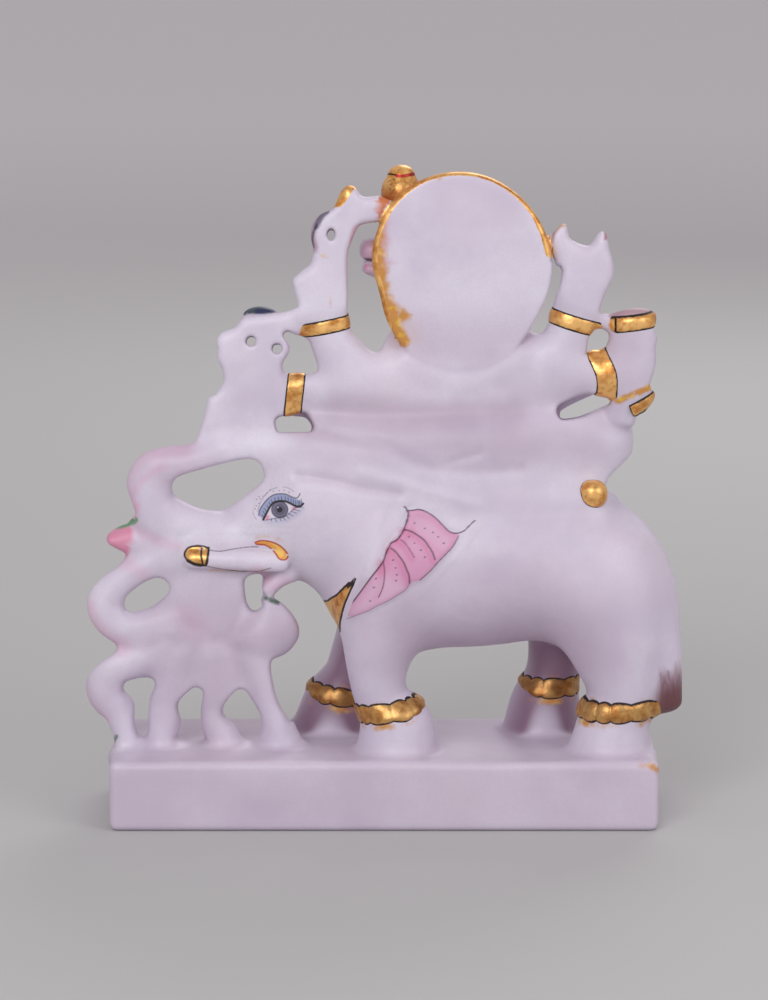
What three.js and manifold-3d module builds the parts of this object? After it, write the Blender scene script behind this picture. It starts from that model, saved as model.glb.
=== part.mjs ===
// Manibhadra, the boar-headed guardian, seated with six arms on a white elephant that has many trunks.
// The idol and its plinth are one block of marble. Millimetres, +Z up, origin at the centre of the
// plinth's underside. The figure looks along +Y, its plain back faces -Y, and the elephant walks
// towards -X.

import * as THREE from 'three';
import { mergeVertices } from 'three/addons/utils/BufferGeometryUtils.js';
import { LoftGeometry } from 'three/addons/geometries/LoftGeometry.js';
import Module from 'manifold-3d';

// Driving dimensions
const plinthLength = 255;
const plinthWidth = 94;
const plinthHeight = 33;
const plinthEdge = 3;
const sideOffset = 21; // from the middle plane to the middle of a leg
const trunkPlane = -12; // the fan of trunks lies a little behind the middle plane
const trunkDepth = 11; // half the thickness of the fan
const armPlane = -10; // the raised arms lie in this plane
const armDepth = 8; // half the thickness of a raised arm
const haloX = 36.5;
const haloZ = 262;
const haloWidth = 84;
const haloTop = 303.5;
const haloBottom = 213;
const haloBack = -20;
const haloThickness = 9;

// How finely round shapes are cut into facets
const eggRound = 12;
const eggRows = 7;
const limbRound = 10;
const bandRound = 10;
const haloRound = 28;
const endRings = { flat: [], blunt: [0.8], round: [0.6, 0.92] }; // cosines of the rings of a limb's end
const cutterReach = 70; // half the length of a cutter that goes right through
const openingFall = 0.176; // how steeply the openings fall towards the front

const wasm = await Module();
wasm.setup();

// A closed geometry as a solid that can be joined and cut
function solidOf(geometry) {
  const bare = new THREE.BufferGeometry();
  bare.setAttribute('position', geometry.getAttribute('position'));
  bare.setIndex(geometry.index);
  const merged = mergeVertices(bare, 1e-4);
  return new wasm.Manifold(new wasm.Mesh({
    numProp: 3,
    vertProperties: merged.getAttribute('position').array,
    triVerts: new Uint32Array(merged.index.array),
  }));
}

// A solid's surface as a geometry
function geometryOf(solid) {
  const mesh = solid.getMesh();
  const geometry = new THREE.BufferGeometry();
  geometry.setAttribute('position', new THREE.BufferAttribute(mesh.vertProperties, 3));
  geometry.setIndex(new THREE.BufferAttribute(mesh.triVerts, 1));
  geometry.computeVertexNormals();
  return geometry;
}

function join(solids) {
  return solids.reduce((whole, piece) => whole.add(piece));
}

// An egg-shaped mass: its centre, its three half-sizes and its tilt in the X-Z plane
function egg(centre, halfSizes, tilt = 0) {
  const geometry = new THREE.SphereGeometry(1, eggRound, eggRows);
  geometry.scale(...halfSizes);
  geometry.rotateY(tilt);
  geometry.translate(...centre);
  return solidOf(geometry);
}

// One ring of a limb, with its half-widths across and along the depth axis
function limbRing(centre, tangent, depthAxis, across, deep, sides) {
  const side = new THREE.Vector3().crossVectors(depthAxis, tangent).normalize();
  const depth = new THREE.Vector3().crossVectors(tangent, side);
  const ring = [];
  for (let i = 0; i < sides; i++) {
    const angle = (i / sides) * 2 * Math.PI;
    ring.push(centre.clone()
      .addScaledVector(side, across * Math.cos(angle))
      .addScaledVector(depth, deep * Math.sin(angle)));
  }
  return ring;
}

// A limb is a smooth tapering tube. Each station is [x, y, z, half-width across, half-depth], and
// the depth is measured along depthAxis. An end that is buried in another mass stays flat.
function limb(stations, options = {}) {
  const { sides = limbRound, spanSteps = 1, ends = ['blunt', 'blunt'], depthAxis = [0, 1, 0] } = options;
  const path = new THREE.CatmullRomCurve3(stations.map(([x, y, z]) => new THREE.Vector3(x, y, z)));
  const widths = new THREE.CatmullRomCurve3(stations.map(([, , , a, b]) => new THREE.Vector3(a, b, 0)));
  const axis = new THREE.Vector3(...depthAxis);
  const steps = (stations.length - 1) * spanSteps;
  const ringAt = (t, cosine = 0, outwards = 1) => {
    const { x: across, y: deep } = widths.getPoint(t);
    const tangent = path.getTangent(t);
    const shrink = Math.sqrt(1 - cosine * cosine);
    const centre = path.getPoint(t).addScaledVector(tangent, outwards * cosine * Math.min(across, deep));
    return limbRing(centre, tangent, axis, across * shrink, deep * shrink, sides);
  };
  const rings = endRings[ends[0]].map((cosine) => ringAt(0, cosine, -1)).reverse();
  for (let i = 0; i <= steps; i++) rings.push(ringAt(i / steps));
  rings.push(...endRings[ends[1]].map((cosine) => ringAt(1, cosine, 1)));
  return solidOf(new LoftGeometry(rings, { capStart: true, capEnd: true }));
}

// A limb whose stations all lie in one plane, so that they are given as [x, z, half-width]
function flatLimb(stations, plane, depth, options) {
  return limb(stations.map(([x, z, across]) => [x, plane, z, across, depth]), options);
}

// A smooth closed outline through points of the X-Z plane
function smoothShape(points, divisions) {
  const curve = new THREE.CatmullRomCurve3(points.map(([x, z]) => new THREE.Vector3(x, z, 0)), true);
  return new THREE.Shape(curve.getPoints(divisions).slice(0, -1).map(({ x, y }) => new THREE.Vector2(x, y)));
}

// A slab in the X-Z plane, from one depth to another, with its edges bevelled
function slabGeometry(shape, near, far, bevel) {
  const geometry = new THREE.ExtrudeGeometry(shape, {
    depth: far - near - 2 * bevel,
    curveSegments: 3,
    bevelEnabled: bevel > 0,
    bevelThickness: bevel,
    bevelSize: bevel,
    bevelOffset: -bevel,
    bevelSegments: 1,
  });
  geometry.rotateX(Math.PI / 2);
  geometry.translate(0, far - bevel, 0);
  return geometry;
}

function slab(shape, near, far, bevel) {
  return solidOf(slabGeometry(shape, near, far, bevel));
}

// A cutter for an opening that goes right through, with its outline given in the plane at that depth
function opening(points, plane) {
  const fineness = 1.3;
  const shape = smoothShape(points, Math.round(points.length * fineness));
  const geometry = slabGeometry(shape, -cutterReach, cutterReach, 0);
  geometry.applyMatrix4(new THREE.Matrix4().makeShear(0, 0, 0, -openingFall, 0, 0));
  geometry.translate(0, 0, openingFall * plane);
  return solidOf(geometry);
}

// A round band about a limb, tilted in the X-Z plane. An anklet swells in the middle, an armlet is plain.
function band({ centre, radius, tilt, depth = radius }, halfHeight, plain) {
  const swell = 1.14;
  const middle = halfHeight / 2;
  const edges = plain
    ? [[swell, -halfHeight], [swell, halfHeight]]
    : [[1, -halfHeight], [swell, -middle], [swell, middle], [1, halfHeight]];
  const profile = [[0, -halfHeight], ...edges, [0, halfHeight]];
  const geometry = new THREE.LatheGeometry(profile.map(([r, z]) => new THREE.Vector2(r, z)), bandRound);
  geometry.rotateX(Math.PI / 2);
  geometry.scale(radius, depth, 1);
  geometry.rotateY(-tilt);
  geometry.translate(...centre);
  return solidOf(geometry);
}

function plinth() {
  const half = [plinthLength / 2 - plinthEdge, plinthWidth / 2 - plinthEdge];
  const shape = new THREE.Shape();
  shape.moveTo(-half[0], -half[1]);
  shape.lineTo(half[0], -half[1]);
  shape.lineTo(half[0], half[1]);
  shape.lineTo(-half[0], half[1]);
  const geometry = new THREE.ExtrudeGeometry(shape, {
    depth: plinthHeight - plinthEdge,
    bevelThickness: plinthEdge,
    bevelSize: plinthEdge,
    bevelSegments: 4,
  });
  const below = new THREE.BoxGeometry(2 * plinthLength, 2 * plinthWidth, plinthHeight);
  below.translate(0, 0, -plinthHeight / 2);
  return solidOf(geometry).subtract(solidOf(below));
}

// Elephant
// The trunk, head, neck, barrel and rump are one run of rounded sections along the middle plane
const elephantRun = [
  [-84, -9, 130, 15, 13], [-66, -4, 132, 17, 19], [-50, 0, 139, 28, 26], [-30, 0, 140, 31, 29],
  [-8, 0, 131, 33, 34], [16, 0, 118.5, 38, 39], [44, 0, 117.5, 38.5, 41], [70, 0, 118, 36, 41],
  [92, 0, 115.5, 36.5, 40], [107, 0, 108, 30, 36],
];

function elephantBody() {
  const chest = egg([1, 0, 106], [27, 34, 30]);
  const lip = flatLimb([[-46, 116, 6], [-56, 108, 3.2]], -11, 8, { sides: 8, ends: ['flat', 'blunt'] });
  return join([limb(elephantRun, { sides: 16, ends: ['flat', 'round'] }), chest, lip]);
}

// Each leg is [x, z, half-width, half-depth] stations from hip to sole, on one side of the middle plane
const legs = [
  { side: -1, stations: [[4, 124, 18, 9], [0.4, 104, 19.2, 15.5], [-2.3, 85, 17, 17], [-4.6, 69, 12.3, 14],
    [-2.2, 58, 11.7, 12.5], [4.6, 46, 16, 16], [6, 33, 19.5, 18]] },
  { side: 1, stations: [[0, 122, 17, 9], [-3, 104, 18, 15], [-7, 86, 15, 15.5], [-14, 68, 11.9, 13.5],
    [-19.4, 57, 12, 13], [-24, 45, 17.5, 16], [-25.3, 33, 20.5, 18]] },
  { side: -1, stations: [[98, 126, 22, 9], [102, 107, 27, 16], [107, 86, 23, 18], [111, 66, 16.5, 16.5],
    [110, 57, 15.5, 15.5], [107, 45, 17, 17], [105.5, 33, 19.5, 18]] },
  { side: 1, stations: [[96, 124, 20, 9], [92, 105, 23, 15], [84, 86, 15.5, 15.5], [81.5, 68, 13, 13],
    [79.5, 58, 13, 13], [77, 46, 17, 17], [76, 33, 20, 18]] },
];

function leg({ side, stations }) {
  const placed = stations.map(([x, z, across, deep]) => [x, side * sideOffset, z, across, deep]);
  return limb(placed, { ends: ['flat', 'flat'] });
}

const anklets = [
  { centre: [0.6, -sideOffset, 53], radius: 13.4, tilt: 0.14 },
  { centre: [-21, sideOffset, 51.3], radius: 13.2, tilt: -0.14 },
  { centre: [110, -sideOffset, 54], radius: 17, tilt: 0 },
  { centre: [80, sideOffset, 55.5], radius: 14, tilt: 0 },
];

function anklet(place) {
  return band(place, 4.6, false);
}

function tail() {
  return limb([[118, -4, 131, 6, 7], [127, -12, 112, 7, 8], [132, -17, 88, 6.3, 7], [133, -21, 57, 5.8, 6]],
    { sides: 6, spanSteps: 2 });
}

// An ear lies back against the shoulder as a thin flap that follows the slope of the side
const earOutline = [[10, 149], [24, 145], [34, 138], [22, 121], [8, 109.5], [-18, 97], [-8, 115], [2, 130]];
const earSlope = 0.18;
const earPlane = 34.5;
const earProud = 2.5;
const earRoot = 8;

function ear(side) {
  const depths = side < 0 ? [-earProud, earRoot] : [-earRoot, earProud];
  const geometry = slabGeometry(smoothShape(earOutline, 14), ...depths, 1);
  geometry.rotateZ(side * earSlope);
  geometry.translate(0, side * earPlane, 0);
  return solidOf(geometry);
}

function tusks() {
  const thick = 4.8;
  const near = [[-48, -22, 123], [-70, -24, 124], [-89, -23, 124.5]];
  const far = [[-48, 20, 123], [-70, 12, 124], [-89, 4, 124.5]];
  const tusk = (points) => limb(points.map((point) => [...point, thick, thick]), { sides: 8 });
  return join([tusk(near), tusk(far)]);
}

// The trunks spread like a fan: each is a flat limb of [x, z, half-width] stations
const trunkMass = [
  [-97, 131, 15], [-86, 118, 25], [-85, 100, 22], [-85, 84, 25.5], [-84, 66, 27], [-84, 58, 27],
];
const curlingTrunks = [
  [[-84, 134, 12], [-103, 141, 12], [-109.5, 152, 11], [-106, 165.5, 10.5], [-92, 168, 9], [-72, 174, 9]],
  [[-96, 126, 11], [-114, 118, 8.7], [-127.5, 108, 9], [-130, 99, 9.2], [-120, 89.5, 9.3], [-98, 90, 11]],
  [[-96, 78, 10], [-114, 75.5, 9], [-127, 70.5, 9.2], [-130.8, 61, 9], [-125.5, 50, 8], [-121.5, 40, 6],
    [-121, 30, 8]],
];
const standingTrunks = [
  [[-100, 78, 11], [-101, 62, 9], [-103, 48, 8], [-104.5, 38, 6.5], [-104, 29, 10]],
  [[-80, 76, 10], [-79.5, 60, 8], [-80, 48, 6.6], [-76, 38, 7.5], [-75, 29, 10]],
  [[-62, 86, 12], [-58, 70, 9], [-54.5, 56, 7], [-50.5, 44, 7], [-48, 30, 11]],
];

function trunkFan() {
  const trunk = (stations, spanSteps) =>
    flatLimb(stations, trunkPlane, trunkDepth, { sides: 8, spanSteps, ends: ['flat', 'flat'] });
  const curl = egg([-54, trunkPlane, 90.5], [14.5, trunkDepth, 14.5]);
  const lotus = flatLimb([[-110, 132, 8], [-120, 131.5, 6.5], [-127, 131.5, 3]], trunkPlane, 7, { sides: 8 });
  return join([
    trunk(trunkMass, 1),
    ...curlingTrunks.map((stations) => trunk(stations, 2)),
    ...standingTrunks.map((stations) => trunk(stations, 1)),
    curl,
    lotus,
  ]);
}

const trunkOpenings = {
  upper: [[-99, 155], [-93, 162], [-63, 169], [-56.5, 162], [-66, 152], [-80, 146.5], [-94, 150]],
  loop: [[-121, 101], [-117, 106], [-106, 113], [-101.5, 108], [-105, 103], [-117, 97.5]],
  first: [[-122, 61], [-115, 65], [-107.5, 63], [-110, 55], [-111, 40], [-116, 40], [-117, 49], [-116, 55]],
  second: [[-96, 53], [-88, 60.5], [-85, 57.5], [-86.5, 47], [-82, 36], [-90, 32], [-98, 37], [-94.5, 46]],
  third: [[-75, 50], [-67, 59.5], [-61, 54], [-58, 45], [-61, 36], [-66, 36], [-71, 45]],
  chin: [[-65, 112], [-60, 114.5], [-57.5, 107], [-57.5, 102], [-62, 99.5], [-64, 105]],
};

// Figure
// The lap is one run of rounded sections from the right knee to the left hand's edge
const lapRun = [
  [102, 5, 176.5, 17, 18], [86, 4, 174, 23, 24], [64, 2, 171, 27, 28], [32, 1, 171, 27, 29],
  [0, 0, 171, 26, 28], [-24, -3, 173, 22, 24], [-48, -8, 174, 13, 15], [-74, -11, 174, 9, 10],
];

// The shoulders and the lower pair of raised arms are one run, from elbow to elbow
const shoulderRun = [
  [-62, -11, 206, 14, 7], [-50, -10, 201, 10.5, 8], [-38, -10, 200, 10.5, 8.5], [-20, -9, 203, 14, 11],
  [2, -6, 206, 17, 13], [20, -4, 208, 20, 14], [38, -3, 208, 21, 14], [56, -4, 208, 20, 14],
  [74, -6, 208, 16, 12], [90, -9, 209, 12, 10], [104, -10, 209, 10.5, 9], [115, -10, 214, 11, 8],
];

function trunkOfFigure() {
  const bellyRun = [[37, 4, 184, 32, 24], [37, 3, 204, 28, 17], [37, 2, 222, 35, 13], [37, 2, 236, 30, 12]];
  const waistRun = [[-14, -4, 190, 10, 13], [36, -1, 189, 12, 19], [84, -4, 190, 8, 12]];
  const waist = limb(waistRun, { sides: 8, ends: ['flat', 'flat'] });
  const seat = limb([[-36, -2, 153, 14, 23], [28, 0, 151, 15, 27.5], [96, 0, 152, 10, 24]]);
  const knobOptions = { sides: 10, ends: ['flat', 'round'], depthAxis: [0, 0, 1] };
  const knob = limb([[97, -20, 155, 6, 6], [97, -26, 155, 6, 6]], knobOptions);
  const lap = limb(lapRun, { sides: 12, ends: ['round', 'flat'] });
  const shoulders = limb(shoulderRun, { ends: ['flat', 'flat'] });
  return join([lap, shoulders, limb(bellyRun), waist, seat, knob]);
}

// The upper pair of raised arms, from the shoulder to the hand: [x, y, z, half-width, half-depth]
const raisedArms = [
  [[12, -6, 212, 12, 12], [-8, -8, 209, 11.5, 11], [-20, armPlane, 218, 11.5, 10],
    [-26, armPlane, 230, 11, 9], [-28, armPlane, 256, 11.5, 7]],
  [[60, -6, 214, 13, 12], [74, -8, 216, 12, 11], [84, -9, 224, 11, 10], [89, armPlane, 238, 11, 8],
    [94, armPlane, 262, 11.5, 7]],
];

const armlets = [
  { centre: [-41.5, armPlane, 200], radius: 10, tilt: 1.52 },
  { centre: [-26.5, armPlane, 232.5], radius: 10.3, tilt: 0.2 },
  { centre: [88, armPlane, 234], radius: 10.3, tilt: -0.3 },
  { centre: [101, armPlane, 209], radius: 10.3, tilt: 1.5 },
];

function arms() {
  const bands = armlets.map((place) => band({ ...place, depth: 8.6 }, 3.9, true));
  const limbs = raisedArms.map((stations) => limb(stations, { sides: 8, ends: ['flat', 'flat'] }));
  return join([...limbs, ...bands]);
}

// Hands and what they hold, as outlines of [x, z] points
const handOutlines = {
  leftLow: [
    [-90, 176], [-84, 190], [-82, 199], [-76, 204], [-75, 210], [-78, 219], [-77, 228], [-70, 231.5],
    [-64, 237], [-50, 238.5], [-37, 241], [-34, 234], [-42, 227], [-44, 219], [-47, 212], [-46, 200],
    [-44, 186], [-46, 170],
  ],
  leftHigh: [
    [-38, 236], [-41.5, 244], [-42.5, 254], [-35, 260], [-33, 267], [-33.5, 278], [-28, 285], [-22, 290],
    [-18, 297], [-13, 296], [-9, 292.5], [4, 292], [4, 281], [-9, 279.5], [-14, 273], [-16.5, 260],
    [-16.5, 240],
  ],
  rightHigh: [
    [80, 262], [76.5, 274], [83, 280], [86, 273], [95, 269.5], [101, 276.5], [103.5, 268], [106, 259],
    [102.5, 248], [98, 238], [82, 244],
  ],
};

const handOpenings = {
  elbow: [[82, 190.5], [87, 195.5], [94, 198.2], [101, 198.2], [103.5, 195.5], [95, 191.5], [88, 189.5]],
  wrist: [[-46, 228.5], [-41, 227], [-35, 225], [-31.5, 213], [-38, 210], [-46, 210.5], [-44, 220]],
  slot: [[-51, 186], [-48, 190], [-37, 190], [-34, 186], [-37, 182.5], [-48, 182.5]],
  drillOuter: [[-64, 224.5], [-61.5, 227], [-59, 224.5], [-61.5, 222]],
  drillInner: [[-52, 221], [-49.5, 223.5], [-47, 221], [-49.5, 218.5]],
  drillHigh: [[-26.1, 274.5], [-24.5, 277.2], [-22.9, 274.5], [-24.5, 271.8]],
};

function hands() {
  const bevel = 1.6;
  const fineness = 1.2;
  const near = armPlane - armDepth;
  const far = armPlane + armDepth;
  return join(Object.values(handOutlines).map((points) =>
    slab(smoothShape(points, Math.round(points.length * fineness)), near, far, bevel)));
}

// The hourglass drum in the lower right hand, a disc at each end of a hand that grips its waist
function drum() {
  const gripRun = [
    [115, armPlane, 233, 9, 8.5], [115, armPlane, 220, 12, 9], [114, armPlane, 204, 10, 8.5],
    [111, armPlane, 188, 6, 7],
  ];
  const grip = limb(gripRun, { sides: 10, ends: ['flat', 'flat'] });
  const bridgeOptions = { sides: 8, ends: ['flat', 'flat'] };
  const bridge = flatLimb([[93, 241, 5.5], [106, 231.5, 4.5]], armPlane, 6, bridgeOptions);
  const skins = [
    { centre: [115, armPlane, 234.5], radius: 9.4, tilt: 0.12 },
    { centre: [115, armPlane, 197], radius: 9.4, tilt: 0.3 },
  ];
  return join([...skins.map((place) => band(place, 4.2, true)), grip, bridge]);
}

// The halo is a long disc, rounder above than below, with a gently domed back
function halo() {
  const rings = [[haloThickness, 1], [2, 1], [0, 0.95], [-2.4, 0.6]]; // depth, and share of the full size
  const sections = rings.map(([depth, size]) => {
    const section = [];
    for (let i = 0; i < haloRound; i++) {
      const angle = (i / haloRound) * 2 * Math.PI;
      const height = Math.sin(angle) > 0 ? haloTop - haloZ : haloZ - haloBottom;
      section.push(new THREE.Vector3(haloX + size * (haloWidth / 2) * Math.cos(angle), haloBack + depth,
        haloZ + size * height * Math.sin(angle)));
    }
    return section;
  });
  return solidOf(new LoftGeometry(sections, { capStart: true, capEnd: true }));
}

// The boar's head looks along -X, with the small shrine on its snout
function boarHead() {
  const skull = egg([30, 4, 260], [25, 19, 20]);
  const neck = limb([[38, 0, 228, 18, 15], [36, 0, 248, 17, 16]]);
  const snout = limb([[18, 4, 263, 13, 13], [2, 3, 265, 9, 10], [-5, 2, 265.5, 6.5, 8]]);
  const jaw = limb([[18, 4, 253, 9, 10], [-6.5, 2, 259, 4, 7]]);
  const tusk = limb([[4, 13, 258, 2.4, 2.4], [-2, 16, 262, 2, 2], [-4, 16, 268, 1.4, 1.4]], { sides: 6 });
  const earFlaps = [-1, 1].map((side) => limb([[42, 4 + side * 12, 266, 6, 5], [50, 4 + side * 17, 275, 8, 4],
    [56, 4 + side * 19, 286, 3, 2]], { sides: 8 }));
  return join([skull, neck, snout, jaw, tusk, ...earFlaps]);
}

function turned(profile, centre, segments = bandRound) {
  const geometry = new THREE.LatheGeometry(profile.map(([r, z]) => new THREE.Vector2(r, z)), segments);
  geometry.rotateX(Math.PI / 2);
  geometry.translate(...centre);
  return solidOf(geometry);
}

// The crown is a tall cap in two tiers above a brow band
function crown() {
  const profile = [
    [0, 267], [20, 268], [21.5, 273], [19, 278], [18, 283], [13.5, 289], [11, 294], [6, 298.5], [0, 301],
  ];
  return turned(profile, [34, 7.2, 0]);
}

// The shrine has a foot, a round body, an eave and a dome
function shrine() {
  const profile = [
    [0, 266], [9.5, 266], [10.5, 272], [8.6, 275], [8.2, 288], [10, 291], [9.8, 297], [7.8, 303],
    [4, 306.3], [0, 307],
  ];
  return turned(profile, [8, -3, 0]);
}

// The front pair of arms: one hand is raised in blessing, the other lies in the lap with a small pot
function frontArms() {
  const blessing = [
    [66, 4, 212, 10, 10], [76, 16, 196, 8.5, 8.5], [70, 33, 192, 7, 7], [66, 38, 204, 7, 5],
    [66, 38, 219, 6.5, 3.5],
  ];
  const resting = [[8, 4, 212, 10, 10], [-2, 16, 196, 8.5, 8.5], [8, 33, 190, 7, 7], [26, 36, 189, 6.5, 6]];
  const pot = turned([[0, 190], [7, 191], [9.5, 197], [5, 204], [6.5, 208], [0, 209]], [26, 35, 0]);
  return join([
    limb(blessing, { sides: 8, depthAxis: [0.3, 1, 0.2] }),
    limb(resting, { sides: 8, depthAxis: [0, 0.3, 1] }),
    pot,
  ]);
}

// Crossed shins and feet in front of the lap
function shins() {
  const right = [[100, 20, 176, 13, 14], [66, 34, 172, 11, 10], [34, 38, 170, 9, 8], [16, 38, 170, 8, 7]];
  const left = [[-34, 16, 174, 13, 14], [-2, 32, 168, 11, 10], [34, 38, 166, 9, 8], [54, 38, 167, 8, 7]];
  return join([limb(right, { sides: 10 }), limb(left, { sides: 10 })]);
}

// A necklace hangs in a half ring on the chest
function necklace() {
  const beads = 5;
  const thick = 2.6;
  const stations = [];
  for (let i = 0; i <= beads; i++) {
    const angle = (i / beads) * Math.PI;
    const height = 229 - 22 * Math.sin(angle);
    stations.push([37 - 17 * Math.cos(angle), 9 + 4.5 * Math.sin(angle), height, thick, thick]);
  }
  return limb(stations, { sides: 6 });
}

// The whole carving
function idol() {
  const pierced = join([
    elephantBody(), ...legs.map(leg), tail(), tusks(), trunkFan(), trunkOfFigure(), shins(), arms(), hands(),
    drum(),
  ]);
  const whole = [
    plinth(), ...anklets.map(anklet), ear(-1), ear(1), halo(), boarHead(), crown(), shrine(), frontArms(),
    necklace(),
  ];
  const cutters = [
    ...Object.values(trunkOpenings).map((points) => opening(points, trunkPlane)),
    ...Object.values(handOpenings).map((points) => opening(points, armPlane)),
  ];
  return join([pierced.subtract(join(cutters)), ...whole]);
}

const marble = new THREE.MeshStandardMaterial({ color: 0xe6e0ee, roughness: 0.42, metalness: 0 });
const model = new THREE.Group();
const carving = new THREE.Mesh(geometryOf(idol()), marble);
carving.name = 'manibhadra_idol';
model.add(carving);

export default model;
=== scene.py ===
# The marble idol with its paint, lit on a pale floor. All shapes are worked out in millimetres from
# the same stations as the solids, as one signed distance on a grid, so that the masses of the carving
# run softly into each other. Meshes are made in metres. The near side is the one the photo shows, -Y.

import functools
import math

import bpy
import numpy as np
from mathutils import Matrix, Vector


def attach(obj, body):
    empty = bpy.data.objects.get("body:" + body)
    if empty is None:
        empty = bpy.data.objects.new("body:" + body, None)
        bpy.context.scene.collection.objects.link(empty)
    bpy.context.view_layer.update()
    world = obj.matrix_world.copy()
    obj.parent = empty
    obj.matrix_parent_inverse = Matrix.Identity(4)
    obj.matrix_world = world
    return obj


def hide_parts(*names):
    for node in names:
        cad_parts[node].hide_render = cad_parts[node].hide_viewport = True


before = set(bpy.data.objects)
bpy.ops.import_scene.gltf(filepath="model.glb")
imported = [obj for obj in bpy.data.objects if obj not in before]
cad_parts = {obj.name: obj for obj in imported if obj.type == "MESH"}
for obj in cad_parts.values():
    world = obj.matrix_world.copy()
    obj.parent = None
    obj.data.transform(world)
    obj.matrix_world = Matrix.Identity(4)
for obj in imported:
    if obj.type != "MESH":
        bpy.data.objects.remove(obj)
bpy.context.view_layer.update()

MM = 0.001
STEP = 1.25  # pitch of the grid that holds the carving
EMPTY = 30.0  # distance that the grid holds before anything is added
LOW = (-150.0, -58.0, -6.0)
HIGH = (149.0, 58.0, 317.0)
OUTSIDE = 60.0  # how far from the middle plane rays towards the stone start
TINY = 1e-6

FALL = 0.176  # how steeply the openings, like the line of sight, fall towards the front
TRUNK_PLANE, TRUNK_DEPTH = -12.0, 11.0
ARM_PLANE, ARM_DEPTH = -10.0, 8.0
HAND_PLANE = -12.0
EYE_PLANE, TUSK_PLANE, EAR_PLANE, FACE_PLANE = -26.0, -28.0, -36.0, -16.0
LEG_SIDE = 21.0  # from the middle plane to the middle of a leg
PLINTH_HALF = (127.5, 47.0, 16.5)
PLINTH_TOP = 33.0
GROW = 0.8  # how far the thin forms stand out over the solids' stations


# Curves and outlines


def spline(points, steps, closed=False):
    """Points of a Catmull-Rom curve through rows of numbers, steps to each span."""
    rows = np.asarray(points, float)
    padded = np.vstack([rows[-1:], rows, rows[:2]] if closed else [rows[:1], rows, rows[-1:]])
    a, b, c, d = (padded[i:len(padded) - 3 + i, None] for i in range(4))
    t = np.arange(steps)[:, None] / steps
    out = 0.5 * (2 * b + (c - a) * t + (2 * a - 5 * b + 4 * c - d) * t**2 + (3 * b - a - 3 * c + d) * t**3)
    out = out.reshape(-1, rows.shape[1])
    return out if closed else np.vstack([out, rows[-1:]])


def line_distance(path, x, z, closed=False):
    """Distance in the X-Z plane from each point to a polyline."""
    best = np.full(np.broadcast(x, z).shape, 1e9, np.float32)
    for (ax, az), (bx, bz) in zip(path, np.roll(path, -1, 0) if closed else path[1:]):
        dx, dz = bx - ax, bz - az
        t = np.clip(((x - ax) * dx + (z - az) * dz) / (dx * dx + dz * dz + 1e-12), 0, 1)
        best = np.minimum(best, (x - ax - t * dx) ** 2 + (z - az - t * dz) ** 2)
    return np.sqrt(best)


def area_distance(path, x, z):
    """Signed distance in the X-Z plane to a closed outline, negative inside."""
    inside = np.zeros(np.broadcast(x, z).shape, bool)
    for (ax, az), (bx, bz) in zip(path, np.roll(path, -1, 0)):
        crosses = (az > z) != (bz > z)
        with np.errstate(divide="ignore", invalid="ignore"):
            inside ^= crosses & (x < (bx - ax) * (z - az) / (bz - az) + ax)
    away = line_distance(path, x, z, closed=True)
    return np.where(inside, -away, away)


def ellipse(x, z, a, b):
    angles = np.arange(8) * math.pi / 4
    return [[x + a * math.cos(t), z + b * math.sin(t)] for t in angles]


def eased(share):
    share = np.clip(share, 0, 1)
    return share * share * (3 - 2 * share)


# Shapes: each is (signed distance function, lowest corner, highest corner)


def along(parts, axis):
    """How far arrows, given by their x, y and z parts, reach along an axis."""
    return sum(part * number for part, number in zip(parts, axis))


def smooth_min(a, b, blend):
    """The lesser of two distances, run softly together where they are about equal."""
    share = np.clip(0.5 + 0.5 * (a - b) / blend, 0, 1)
    return a + (b - a) * share - blend * share * (1 - share)


def rounded(edge, *faces):
    """Signed distance to a body with rounded edges, from the distances to its faces."""
    faces = [face + edge for face in faces]
    outside = np.sqrt(sum(np.maximum(face, 0) ** 2 for face in faces))
    return outside + np.minimum(functools.reduce(np.maximum, faces), 0) - edge


def egg_distance(u, v, w, a, b, c):
    """About how far points are from an egg shape with three half sizes."""
    k1 = np.sqrt((u / a) ** 2 + (v / b) ** 2 + (w / c) ** 2)
    k2 = np.sqrt((u / a**2) ** 2 + (v / b**2) ** 2 + (w / c**2) ** 2) + TINY
    return k1 * (k1 - 1) / k2


def egg(centre, half):
    """An egg-shaped mass."""

    def distance(x, y, z):
        return egg_distance(x - centre[0], y - centre[1], z - centre[2], *half)

    return distance, np.subtract(centre, half), np.add(centre, half)


def limb(stations, depth_axis=(0, 1, 0), steps=4):
    """A smooth tapering tube through [x, y, z, half-width, half-depth] stations with round ends."""
    rows = spline(stations, steps)
    reach = rows[:, 3:].max(1, keepdims=True)

    def distance(x, y, z):
        best = EMPTY
        for p, q in zip(rows[:-1], rows[1:]):
            run = q[:3] - p[:3]
            length = np.linalg.norm(run) + TINY
            tangent = run / length
            side = np.cross(depth_axis, tangent)
            side /= np.linalg.norm(side) + TINY
            depth = np.cross(tangent, side)
            away = (x - p[0], y - p[1], z - p[2])
            t = np.clip(along(away, tangent) / length, 0, 1)
            away = [part - t * number for part, number in zip(away, run)]
            a, b = (p[i] + t * (q[i] - p[i]) for i in (3, 4))
            cap = np.minimum(a, b) * 0.8
            near = egg_distance(along(away, side), along(away, depth), along(away, tangent), a, b, cap)
            best = np.minimum(best, near)
        return best

    return distance, (rows[:, :3] - reach).min(0), (rows[:, :3] + reach).max(0)


def flat_limb(stations, plane, depth):
    """A tube that lies in a plane, through [x, z, half-width] stations."""
    return limb([[x, plane, z, across, depth] for x, z, across in stations])


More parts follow.
